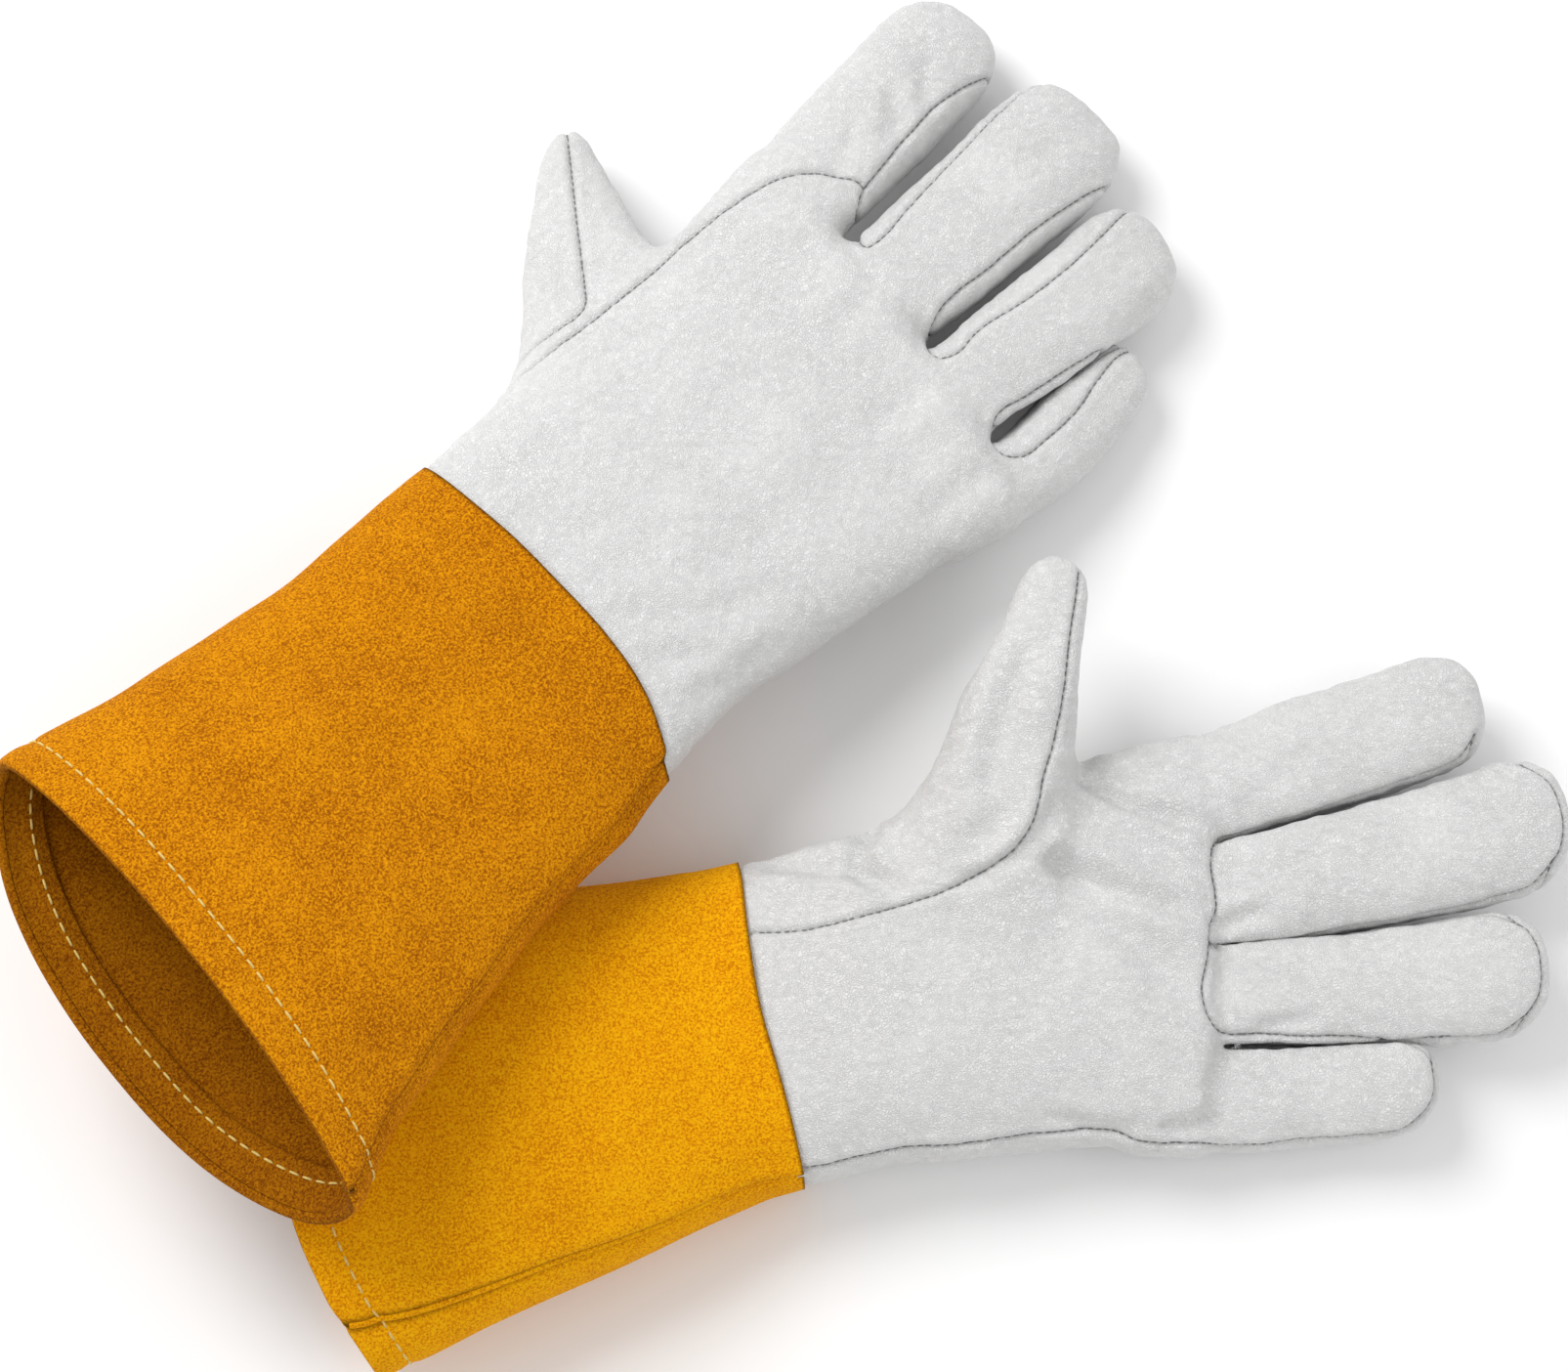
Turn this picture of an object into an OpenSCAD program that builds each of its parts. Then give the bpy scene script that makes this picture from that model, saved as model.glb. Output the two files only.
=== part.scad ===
// Pair of leather welding gloves: goatskin hands on long split-leather cuffs.
// The left glove lies palm up on the ground.  The right glove lies palm down, its cuff
// resting across the left cuff.  Origin: middle of the pair, on the ground.
//
// Each glove is drawn in its own frame: x runs from the wrist seam to the fingertips,
// y points to the thumb side and z is up.  A section is a rounded oval.  Its angle is 0 on
// the thumb side, 90 on the back of the hand, 180 on the little finger side, 270 on the palm.

/* [Leather] */
// Thickness of the goatskin of the hands
hand_leather = 1.2; // [0.8:0.1:1.6]
// Thickness of the split leather of the cuffs
cuff_leather = 1.6; // [1.2:0.1:2.0]
// Gap left at each seam between two pieces
seam_gap = 0.5; // [0.3:0.1:0.8]
// Roundness of the sections: 2 is an ellipse, more is squarer
roundness = 2.5; // [2.2:0.1:2.8]

/* [Cuffs] */
// Width of the hem that is folded inside each cuff mouth
hem_width = 13; // [8:1:18]
// Distance of the hem stitching from the mouth edge
stitch_inset = 10; // [6:1:14]
// Height of the welt along the side seam
welt_height = 2.4; // [1.5:0.1:3]
// Length of one stitch
stitch_length = 3; // [2:0.1:4]

/* [Hands] */
// Where the wrist bends, from the wrist seam
wrist_bend = 16; // [12:1:20]
// How far past the finger crotches the fingers bend
finger_bend = 6; // [4:0.5:8]
// Notch per millimetre of height that lets the wrist fold
wrist_notch = 0.36; // [0.3:0.02:0.45]
// Cut at the palm side of the hand's finger end that lets the fingers curl
palm_cut = 3; // [2:0.5:4]
// Notch per millimetre of depth that lets a finger curl
curl_notch = 0.65; // [0.5:0.05:0.8]
// Notch per millimetre of depth that lets a finger straighten past its rest
lift_notch = 0.22; // [0.15:0.01:0.3]

/* [Placing] */
// Turn of the right glove about the vertical
right_yaw = 42; // [38:1:46]
// Turn of the left glove about the vertical
left_yaw = 11; // [7:1:15]

/* [Hidden] */

GOATSKIN = "whitesmoke";
GOATSKIN_SIDE = "gainsboro";
SUEDE = "goldenrod";
THREAD = "cornsilk";

// Wrist seam of each glove on the ground plan
RIGHT_ORIGIN = [-68.5, 2.6, 0];
LEFT_ORIGIN = [-6.1, -99, 0];

// Sections of cuff and hand:
// [x, thumb side edge, little finger side edge, mid height, half depth]
RIGHT_SECTIONS = [
    [-152, 61, -96, 89, 25], [-140, 60, -94, 86, 25], [-118, 56.5, -83.5, 80, 25], [-100, 53.5, -77, 76, 24],
    [-80, 53, -71, 71, 23], [-60, 53, -66, 65.5, 21.5], [-40, 53.5, -62, 60, 20],
    [-20, 55, -58.5, 54, 18], [0, 56, -53, 48.5, 16.5], [10, 56, -50.5, 46, 17],
    [22, 58, -48.5, 42.5, 18], [40, 60.5, -49.5, 38.5, 18.5], [70, 63.5, -51.5, 33, 18],
    [100, 66, -54.5, 29, 16.5], [125, 67.5, -58, 26, 15], [150, 69, -61, 24, 14]];
LEFT_SECTIONS = [
    [-140, 60, -78, 26.5, 27.2], [-118, 55, -75, 26.5, 27.2], [-100, 51, -69, 26, 26.7],
    [-80, 47.5, -64, 25.5, 26.2], [-60, 45, -59.5, 24.5, 25.2], [-40, 43.5, -55, 23, 23.7],
    [-20, 43, -51, 21.5, 22.2], [0, 43, -46.5, 20, 20.7], [10, 43.5, -46, 20, 20.7],
    [25, 44.5, -46, 20, 20.7], [40, 46, -47.5, 19.5, 20.2], [60, 49, -49, 19, 19.7],
    [80, 52, -51.5, 18.5, 19.2], [95, 53.5, -54.5, 18, 18.6], [115, 54, -59, 17, 17.5],
    [130, 54.5, -62.5, 16, 16.4], [145, 55, -64, 15, 15.3]];

// Mouth edge: [x at half height, lean of the mouth's top towards the hand]
RIGHT_MOUTH = [-140, 9];
LEFT_MOUTH = [-134, 0];

// Line of the finger crotches: x = first value + second value * y
RIGHT_CROTCH = [138.5, 0.13];
LEFT_CROTCH = [124.6, 0.2];

// Digits: [root, tip, half widths, half depths, sideways bow, sag, roll]
// Half widths and depths are at the root, the middle and the tip.
INDEX = 0;
MIDDLE = 1;
RING = 2;
LITTLE = 3;
THUMB = 4;
RIGHT_DIGITS = [
    [[122, 50, 26], [219.5, 65, 12], [14.5, 17.2, 17.2], [12.5, 11.5, 10.5], 0, 2, 0],
    [[118, 14, 27], [226.5, 18.5, 13], [12.8, 18.2, 18.8], [12.5, 12, 11], 0, 2, 6],
    [[114, -21.5, 26], [216, -20, 14], [11.8, 15.6, 15], [12.5, 11.5, 10.5], -1, 2, 10],
    [[110, -47, 23], [187, -47.5, 10.5], [12, 11, 10.5], [11.5, 10.5, 9.5], -3, 1, 10],
    [[48, 44, 26], [111.5, 116, 13], [22, 16.5, 11.5], [15, 12, 9.5], 0, 0, 0]];
LEFT_DIGITS = [
    [[110, 38, 17], [210.5, 51.5, 20], [13.5, 15.6, 15.8], [12.5, 11.5, 10.5], -1, -2, -4],
    [[105, 9.5, 17], [226, 15, 22], [11.3, 15.8, 17], [12.5, 12, 11], -1.5, -2, 0],
    [[100, -14.5, 17], [210.5, -27, 20], [11.3, 15.2, 15.6], [12.5, 11.5, 10.5], -1.5, -2, 0],
    [[97, -43.5, 16], [175, -52.5, 17], [13.6, 12.9, 12], [11.5, 11, 10], -3, -2, 0],
    [[46, 26, 28], [104, 107, 44], [23, 16.5, 11.5], [14, 12, 10], 0, 3, 0]];
// How far along the thumb, from 0 to 1, the thumb bends
THUMB_BEND = 0.47;
// Length of a finger's round end, in half widths of the tip
ROUND_END = 1.05;
// Share of the half depth by which a finger's bend lies nearer the palm
BEND_LEVEL = 0.3;
// The same for the wrist, whose bend lies nearer the top
WRIST_LEVEL = 0.4;
// Opening of the hand for the thumb: [middle x, half length, middle angle, half width in angle]
THUMB_HOLE = [66, 30, 338, 46];
// Share of the thumb's length left open before its bend
THUMB_BASE_GAP = 0.04;
// Where the pieces of a digit meet at its tip, as a share of its round end
TIP_END = 0.998;
// Stitches round one cuff mouth
STITCHES = 72;

// Angles of the seams round a section
BACK_SEAM = 27;
SIDE_SEAM = 201;
FINGER_BACK_SEAM = 34;
FINGER_FRONT_SEAM = 344;
THUMB_SEAM = 80;
THUMB_INNER_SEAM = 190;
MOUND_SEAM = 291;
END_SEAM_THUMB = 9;
END_SEAM_LITTLE = 171;
// Half the angle that a side wall spans where it ends, near the tip
END_WIDTH = 2.5;

// A glove is [side, yaw, origin, sections, mouth, crotch line, digits]
// side is 1 when the back of the hand is up and -1 when the palm is up
RIGHT = [1, right_yaw, RIGHT_ORIGIN, RIGHT_SECTIONS, RIGHT_MOUTH, RIGHT_CROTCH, RIGHT_DIGITS];
LEFT = [-1, left_yaw, LEFT_ORIGIN, LEFT_SECTIONS, LEFT_MOUTH, LEFT_CROTCH, LEFT_DIGITS];

function unit(v) = v / norm(v);
function signed_power(v, e) = sign(v) * pow(abs(v), e);
function oval(a, t, ang) =
    [a * signed_power(cos(ang), 2 / roundness), t * signed_power(sin(ang), 2 / roundness)];
function column(table, k) = [for (row = table) [row[0], row[k]]];
// Value at s from 0 to 1 on the curve through three equally spaced values
function through(q, s) =
    q[0] * (1 - s) * (1 - 2 * s) + 4 * q[1] * s * (1 - s) + q[2] * s * (2 * s - 1);
function steps(a, b, n) = [for (i = [0:n]) a + (b - a) * i / n];
// Angle that half a seam gap takes on a section of this radius
function half_gap(radius) = seam_gap / 2 / radius * 180 / PI;

// Point of a cuff or hand section.  No section reaches below the ground.
function section_point(g, x, ang, inset) =
    let (thumb_side = lookup(x, column(g[3], 1)),
         little_side = lookup(x, column(g[3], 2)),
         p = oval((thumb_side - little_side) / 2 - inset, lookup(x, column(g[3], 4)) - inset, ang))
    [x, (thumb_side + little_side) / 2 + p[0],
     max(lookup(x, column(g[3], 3)) + g[0] * p[1], inset)];
// Height of a point above the middle of its section, in half depths
function level(g, x, p) = (p[2] - lookup(x, column(g[3], 3))) / lookup(x, column(g[3], 4));

// Where a section point lies along x: the mouth leans, the wrist is notched at the top so
// that it can fold, and the fingers' end follows the crotches
function along(g, x, p, edge) =
    edge == "band" || edge == "hand"
        ? let (t = lookup(x, column(g[3], 4)),
               notch = 0.8 + max(0, level(g, x, p) - WRIST_LEVEL) * t * wrist_notch)
          wrist_bend + (edge == "band" ? -notch : notch)
    : edge == "fingers"
        ? g[5][0] + g[5][1] * p[1] - 1.2 - max(0, -g[0] * level(g, x, p)) * palm_cut
    : x + (x < 0 ? g[4][1] * level(g, x, p) * pow(x / g[4][0], 3) : 0);

function hand_ring(g, x, angs, inset, edge) =
    [for (ang = angs)
        let (p = section_point(g, x, ang, inset), q = section_point(g, along(g, x, p, edge), ang, inset))
        [along(g, x, p, edge), q[1], q[2]]];

// Digit frame: [root, direction, thumb side, up, length]
function digit_frame(d) =
    let (e = unit(d[1] - d[0]), l = unit(cross([0, 0, 1], e)), n = cross(e, l))
    [d[0], e, l * cos(d[6]) + n * sin(d[6]), n * cos(d[6]) - l * sin(d[6]), norm(d[1] - d[0])];
// Share of a digit's length that its round end takes
function end_share(d) = ROUND_END * d[2][2] / norm(d[1] - d[0]);
// Share of a digit's length at which it bends
function bend_share(g, k) =
    let (f = digit_frame(g[6][k]), c = g[5])
    k == THUMB ? THUMB_BEND
    : ((c[0] + c[1] * f[0][1] - f[0][0]) / (f[1][0] - c[1] * f[1][1]) + finger_bend) / f[4];

// Point on a digit: s runs from 0 at its root to 1 at its tip, and c from 0 to 1 on its
// round end.  cut is 1 on the open end, which is notched so that the digit can curl.
function digit_point(g, k, s, ang, inset, cut) =
    let (d = g[6][k], f = digit_frame(d), b = 4 * s * (1 - s),
         c = max(0, (s - 1 + end_share(d)) / end_share(d)),
         shrink = pow(max(0, 1 - pow(c, 2.3)), 1 / roundness),
         t = through(d[3], s),
         p = oval((through(d[2], s) - inset) * shrink, (t - inset) * shrink, ang),
         back = p[1] + BEND_LEVEL * t,
         notch = cut * (0.8 + max(0, -back) * curl_notch + max(0, back) * lift_notch))
    f[0] + f[1] * (s * f[4] - inset * c * c + notch)
        + f[2] * (p[0] + d[4] * b) + f[3] * (g[0] * p[1] + d[5] * b);

// Closed shell over rings of points, each ring [outer points, inner points]
module shell(rings, flip) {
    n = len(rings[0][0]);
    m = len(rings);
    points = [for (r = rings) each concat(r[0], r[1])];
    w = 2 * n;
    function quad(a, b, c, d) = flip ? [[a, b, c], [a, c, d]] : [[c, b, a], [d, c, a]];
    along_faces = [for (i = [0:m - 2]) let (o = i * w, q = o + w) each concat(
        [for (j = [0:n - 2]) each quad(o + j, o + j + 1, q + j + 1, q + j)],
        [for (j = [n:2 * n - 2]) each quad(o + j + 1, o + j, q + j, q + j + 1)],
        quad(o + n, o, q, q + n),
        quad(o + n - 1, o + w - 1, q + w - 1, q + n - 1))];
    last = (m - 1) * w;
    end_faces = [for (j = [0:n - 2]) each concat(
        quad(j + 1, j, n + j, n + j + 1),
        quad(last + j, last + j + 1, last + n + j + 1, last + n + j))];
    polyhedron(points, concat(along_faces, end_faces), convexity = 8);
}

module placed(g) translate(g[2]) rotate([0, 0, g[1]]) children();

// Piece of a cuff or hand from x list xs, between two angles that may change along x
module hand_piece(g, xs, from, to, n, layer, thickness, first = "", last = "") {
    a = half_gap(35);
    rings = [for (i = [0:len(xs) - 1])
        let (x = xs[i], edge = i == 0 ? first : i == len(xs) - 1 ? last : "",
             angs = steps(lookup(x, from) + a, lookup(x, to) - a, n))
        [hand_ring(g, x, angs, layer, edge), hand_ring(g, x, angs, layer + thickness, edge)]];
    placed(g) shell(rings, g[0] < 0);
}

// Piece of a digit between two angles.  Its edges move to the second pair of angles on the
// round end, and it stops at end, from 0 to 1 on the round end.
module digit_piece(g, k, from, to, end_from, end_to, n, end = 1) {
    a = half_gap(12);
    s0 = bend_share(g, k);
    e = end_share(g[6][k]);
    body = [for (i = [0:4]) s0 + (1 - e - s0) * i / 4];
    cap = [for (c = [0.3, 0.55, 0.78, 0.92, TIP_END]) if (c <= end) 1 - e + c * e];
    rings = [for (s = concat(body, cap))
        let (c = max(0, (s - 1 + e) / e), m = min(1, c / (end < 1 ? 0.55 : 0.78)), cut = s == s0 ? 1 : 0,
             angs = steps(from + a + (end_from - from) * m, to - a + (end_to - to) * m, n))
        [for (layer = [0, hand_leather]) [for (ang = angs) digit_point(g, k, s, ang, layer, cut)]]];
    placed(g) shell(rings, g[0] < 0);
}

// Base of the thumb: lofted from an oval opening in the hand to the thumb's bend
function thumb_opening(g, ang, layer) =
    let (x = THUMB_HOLE[0] - THUMB_HOLE[1] * cos(ang),
         h = THUMB_HOLE[2] + THUMB_HOLE[3] * sin(ang))
    hand_ring(g, x, [h], layer - hand_leather - 0.5, "")[0];
module thumb_base_piece(g, from, to, n) {
    a = half_gap(16);
    s = THUMB_BEND - THUMB_BASE_GAP;
    rings = [for (i = [0:3]) let (w = i / 3)
        [for (layer = [0, hand_leather]) [for (ang = steps(from + a, to - a, n))
            let (outer = thumb_opening(g, ang, layer), inner = digit_point(g, THUMB, s, ang, layer, 0))
            outer * (1 - w) + inner * w]]];
    placed(g) shell(rings, g[0] < 0);
}

module cuff_panel(g, from, to)
    hand_piece(g, concat([for (x = [g[4][0]:20:-20]) x], [-0.3]),
               [[0, from]], [[0, to]], 14, 0, cuff_leather);
module cuff_back_panel(g) color(SUEDE) cuff_panel(g, 0, 180);
module cuff_palm_panel(g) color(SUEDE) cuff_panel(g, 180, 360);
module cuff_hem(g) color(SUEDE)
    hand_piece(g, steps(g[4][0] + 1, g[4][0] + hem_width, 1), [[0, 182]], [[0, 538]], 28,
               cuff_leather + 0.8, cuff_leather);
module cuff_side_welt(g) color(SUEDE)
    hand_piece(g, concat([for (x = [g[4][0]:20:-20]) x], [-1]), [[0, 177]], [[0, 183]], 2,
               -welt_height, welt_height - 0.3);

// Row of stitches round the cuff mouth, left out where the cuff rests on the ground
module hem_stitching(g) color(THREAD)
    placed(g)
        for (i = [0:STITCHES - 1])
            let (ang = (i + 0.5) * 360 / STITCHES,
                 p = hand_ring(g, g[4][0] + stitch_inset, [ang - 1.2, ang + 1.2], -0.5, ""),
                 across = p[1] - p[0])
            if (p[0][2] > 1.5 && abs(ang - 180) > 6) translate((p[0] + p[1]) / 2)
                rotate([0, 0, atan2(across[1], across[0])])
                    rotate([0, -atan2(across[2], norm([across[0], across[1]])), 0])
                        cube([stitch_length, 0.9, 0.6], center = true);

module wrist_back(g) color(GOATSKIN)
    hand_piece(g, [0.3, 6, wrist_bend], [[0, BACK_SEAM]], [[0, SIDE_SEAM]], 14, 0, hand_leather,
               last = "band");
module wrist_palm(g) color(GOATSKIN)
    hand_piece(g, [0.3, 6, wrist_bend], [[0, SIDE_SEAM]], [[0, 360 + BACK_SEAM]], 14, 0,
               hand_leather, last = "band");

function hand_stations(g) =
    let (last = g[5][0] - abs(g[5][1]) * 62 - 6)
    [wrist_bend, 30, 38, 60, 85, last - 4, last, g[5][0]];
module back_panel(g) color(GOATSKIN)
    hand_piece(g, hand_stations(g), [[0, BACK_SEAM]], [[0, SIDE_SEAM]], 14, 0, hand_leather,
               "hand", "fingers");
module palm_panel(g) color(GOATSKIN)
    hand_piece(g, hand_stations(g), [[0, SIDE_SEAM]],
               [[30, 360 + BACK_SEAM], [38, MOUND_SEAM - 2], [85, MOUND_SEAM - 2],
                [102, 360 + BACK_SEAM]], 14, 0,
               hand_leather, "hand", "fingers");
module thumb_base_outer(g) color(GOATSKIN)
    thumb_base_piece(g, THUMB_INNER_SEAM, 360 + THUMB_SEAM, 16);
module thumb_base_inner(g) color(GOATSKIN_SIDE)
    thumb_base_piece(g, THUMB_SEAM, THUMB_INNER_SEAM, 8);
module thumb_outer(g) color(GOATSKIN)
    digit_piece(g, THUMB, THUMB_INNER_SEAM, 360 + THUMB_SEAM,
                THUMB_INNER_SEAM, 360 + THUMB_SEAM, 16);
module thumb_inner(g) color(GOATSKIN_SIDE)
    digit_piece(g, THUMB, THUMB_SEAM, THUMB_INNER_SEAM, THUMB_SEAM, THUMB_INNER_SEAM, 8);

module index_wrap(g) color(GOATSKIN)
    digit_piece(g, INDEX, 540 - FINGER_FRONT_SEAM, 540 - FINGER_BACK_SEAM,
                END_SEAM_LITTLE, END_SEAM_LITTLE + 360, 22);
module little_side_fourchette(g, k)
    digit_piece(g, k, 180 - FINGER_BACK_SEAM, 540 - FINGER_FRONT_SEAM,
                END_SEAM_LITTLE - END_WIDTH, END_SEAM_LITTLE + END_WIDTH, 4, 0.55);
module thumb_side_fourchette(g, k)
    digit_piece(g, k, FINGER_FRONT_SEAM - 360, FINGER_BACK_SEAM,
                END_SEAM_THUMB - END_WIDTH, END_SEAM_THUMB + END_WIDTH, 4, 0.55);
module index_fourchette(g) color(GOATSKIN_SIDE) little_side_fourchette(g, INDEX);
module finger_back(g, k) color(GOATSKIN)
    digit_piece(g, k, FINGER_BACK_SEAM, 180 - FINGER_BACK_SEAM, END_SEAM_THUMB, END_SEAM_LITTLE, 9);
module finger_front(g, k) color(GOATSKIN)
    digit_piece(g, k, 540 - FINGER_FRONT_SEAM, FINGER_FRONT_SEAM,
                END_SEAM_LITTLE, 360 + END_SEAM_THUMB, 9);
module fourchettes(g, k) color(GOATSKIN_SIDE) {
    little_side_fourchette(g, k);
    thumb_side_fourchette(g, k);
}
module little_back(g) color(GOATSKIN)
    digit_piece(g, LITTLE, FINGER_BACK_SEAM, SIDE_SEAM, END_SEAM_THUMB, END_SEAM_LITTLE, 10);
module little_front(g) color(GOATSKIN)
    digit_piece(g, LITTLE, SIDE_SEAM, FINGER_FRONT_SEAM, END_SEAM_LITTLE, 360 + END_SEAM_THUMB, 9);
module little_fourchette(g) color(GOATSKIN_SIDE) thumb_side_fourchette(g, LITTLE);

module right_cuff_back_panel() cuff_back_panel(RIGHT);
module right_cuff_palm_panel() cuff_palm_panel(RIGHT);
module right_cuff_hem() cuff_hem(RIGHT);
module right_cuff_side_welt() cuff_side_welt(RIGHT);
module right_hem_stitching() hem_stitching(RIGHT);
module right_wrist_back() wrist_back(RIGHT);
module right_wrist_palm() wrist_palm(RIGHT);
module right_back_panel() back_panel(RIGHT);
module right_palm_panel() palm_panel(RIGHT);
module right_thumb_base_outer() thumb_base_outer(RIGHT);
module right_thumb_base_inner() thumb_base_inner(RIGHT);
module right_thumb_outer() thumb_outer(RIGHT);
module right_thumb_inner() thumb_inner(RIGHT);
module right_index_wrap() index_wrap(RIGHT);
module right_index_fourchette() index_fourchette(RIGHT);
module right_middle_back() finger_back(RIGHT, MIDDLE);
module right_middle_front() finger_front(RIGHT, MIDDLE);
module right_middle_fourchettes() fourchettes(RIGHT, MIDDLE);
module right_ring_back() finger_back(RIGHT, RING);
module right_ring_front() finger_front(RIGHT, RING);
module right_ring_fourchettes() fourchettes(RIGHT, RING);
module right_little_back() little_back(RIGHT);
module right_little_front() little_front(RIGHT);
module right_little_fourchette() little_fourchette(RIGHT);
module left_cuff_back_panel() cuff_back_panel(LEFT);
module left_cuff_palm_panel() cuff_palm_panel(LEFT);
module left_cuff_hem() cuff_hem(LEFT);
module left_cuff_side_welt() cuff_side_welt(LEFT);
module left_hem_stitching() hem_stitching(LEFT);
module left_wrist_back() wrist_back(LEFT);
module left_wrist_palm() wrist_palm(LEFT);
module left_back_panel() back_panel(LEFT);
module left_palm_panel() palm_panel(LEFT);
module left_thumb_base_outer() thumb_base_outer(LEFT);
module left_thumb_base_inner() thumb_base_inner(LEFT);
module left_thumb_outer() thumb_outer(LEFT);
module left_thumb_inner() thumb_inner(LEFT);
module left_index_wrap() index_wrap(LEFT);
module left_index_fourchette() index_fourchette(LEFT);
module left_middle_back() finger_back(LEFT, MIDDLE);
module left_middle_front() finger_front(LEFT, MIDDLE);
module left_middle_fourchettes() fourchettes(LEFT, MIDDLE);
module left_ring_back() finger_back(LEFT, RING);
module left_ring_front() finger_front(LEFT, RING);
module left_ring_fourchettes() fourchettes(LEFT, RING);
module left_little_back() little_back(LEFT);
module left_little_front() little_front(LEFT);
module left_little_fourchette() little_fourchette(LEFT);

right_cuff_back_panel();
right_cuff_palm_panel();
right_cuff_hem();
right_cuff_side_welt();
right_hem_stitching();
right_wrist_back();
right_wrist_palm();
right_back_panel();
right_palm_panel();
right_thumb_base_outer();
right_thumb_base_inner();
right_thumb_outer();
right_thumb_inner();
right_index_wrap();
right_index_fourchette();
right_middle_back();
right_middle_front();
right_middle_fourchettes();
right_ring_back();
right_ring_front();
right_ring_fourchettes();
right_little_back();
right_little_front();
right_little_fourchette();
left_cuff_back_panel();
left_cuff_palm_panel();
left_cuff_hem();
left_cuff_side_welt();
left_hem_stitching();
left_wrist_back();
left_wrist_palm();
left_back_panel();
left_palm_panel();
left_thumb_base_outer();
left_thumb_base_inner();
left_thumb_outer();
left_thumb_inner();
left_index_wrap();
left_index_fourchette();
left_middle_back();
left_middle_front();
left_middle_fourchettes();
left_ring_back();
left_ring_front();
left_ring_fourchettes();
left_little_back();
left_little_front();
left_little_fourchette();
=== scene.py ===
"""A pair of leather welding gloves: goatskin hands on golden suede cuffs.

Each hand is one smooth surface, the zero level of a field made of rounded tubes, cut along its
seams into the leather pieces that the real glove is sewn from. Lengths are in millimetres in
the glove's own frame (x from the wrist seam to the fingertips, y to the thumb side, z up)
until a piece is made, which is in metres in the row frame.
"""
import math

import bpy
import numpy as np
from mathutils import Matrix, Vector
from mathutils.kdtree import KDTree


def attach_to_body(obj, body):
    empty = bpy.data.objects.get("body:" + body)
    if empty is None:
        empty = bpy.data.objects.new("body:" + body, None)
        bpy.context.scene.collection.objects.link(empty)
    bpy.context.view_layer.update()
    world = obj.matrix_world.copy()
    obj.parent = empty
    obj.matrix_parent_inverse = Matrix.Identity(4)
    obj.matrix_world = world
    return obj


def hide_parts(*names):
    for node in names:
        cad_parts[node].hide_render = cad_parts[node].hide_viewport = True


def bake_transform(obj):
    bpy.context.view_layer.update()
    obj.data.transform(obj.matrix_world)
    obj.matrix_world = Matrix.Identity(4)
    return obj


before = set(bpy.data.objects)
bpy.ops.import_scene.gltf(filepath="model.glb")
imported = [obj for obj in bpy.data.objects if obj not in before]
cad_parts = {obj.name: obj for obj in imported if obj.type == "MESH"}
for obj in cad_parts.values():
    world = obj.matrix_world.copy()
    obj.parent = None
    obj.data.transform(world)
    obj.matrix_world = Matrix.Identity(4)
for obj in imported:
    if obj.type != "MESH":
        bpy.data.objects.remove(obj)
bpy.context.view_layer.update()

MM = 0.001
GRID = 1.25      # spacing of the grid that the hands are meshed on
CUT_PAST = 3                            # the fingers' moving parts start this far past the crotches
THUMB_CUT = 0.55                        # where along the thumb its moving part starts
FINGER_BEND, THUMB_BEND = 28, 0.3       # length of the bend in mm, and as a share of the thumb
ROUND = 2.5                             # 2 is an oval section, more is squarer
SKIN = 1.1                              # thickness of the goatskin
TUCK = 2.5                              # how far the goatskin goes on under the cuff
STRIP_START = 16                        # how far behind the crotches the side walls start
FINGERS = ("index", "middle", "ring", "little")
SEAM_PITCH, SEAM_STITCH = 2.3, (1.55, 0.42, 0.4)    # spacing, then length, width and height
HEM_PITCH, HEM_STITCH = 4.1, (3.1, 0.72, 0.65)
BEAD = 9.0                              # what the seam attribute says on threads and welts
WALLS = dict(index="index_fourchette", middle="middle_fourchettes", ring="ring_fourchettes",
             little="little_fourchette")

# side is 1 with the back of the hand up and -1 with the palm up.
# hand: rows of x, thumb side edge, little finger side edge, mid height, half depth.
# spread: how far the fingers stand apart at the crotches.
# crotch: x = first value + second value * y along the finger crotches.
# digits: root, tip, half widths and half depths at root, middle and tip, sideways bow, sag, roll.
RIGHT = dict(
    name="right", side=1, yaw=42, origin=(-68.5, 2.6), crotch=(138.5, 0.13), wrist=(11, 37),
    spread=1.2,
    hand=[(-14, 54, -55, 52, 16), (0, 56, -53, 48.5, 16.5), (10, 56, -50.5, 46, 17),
          (22, 58, -48.5, 42.5, 18), (40, 60.5, -49.5, 38.5, 18.5), (70, 63.5, -51.5, 33, 18),
          (100, 66, -54.5, 29, 16.5), (125, 67.5, -58, 26, 15), (150, 69, -61, 24, 14)],
    digits=dict(
        index=((122, 50, 26), (219.5, 65, 12), (16.5, 17.8, 17.6), (13, 11.5, 10.5), 0, 2, 0),
        middle=((118, 14, 27), (226.5, 18.5, 13), (16.5, 19, 19.2), (13, 12, 11), 0, 2, 6),
        ring=((114, -21.5, 26), (213.5, -20.5, 14), (15.5, 16.6, 15.8), (13, 11.5, 10.5), -1, 2, 12),
        little=((110, -45.5, 23), (184.5, -42, 9.5), (10.5, 13.6, 10.8), (12, 10.5, 9), -2, 1, 14),
        thumb=((58, 44.5, 26), (108.5, 116, 13), (20, 17, 5.2), (15, 12, 7), 0, 0, 0)))
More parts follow.
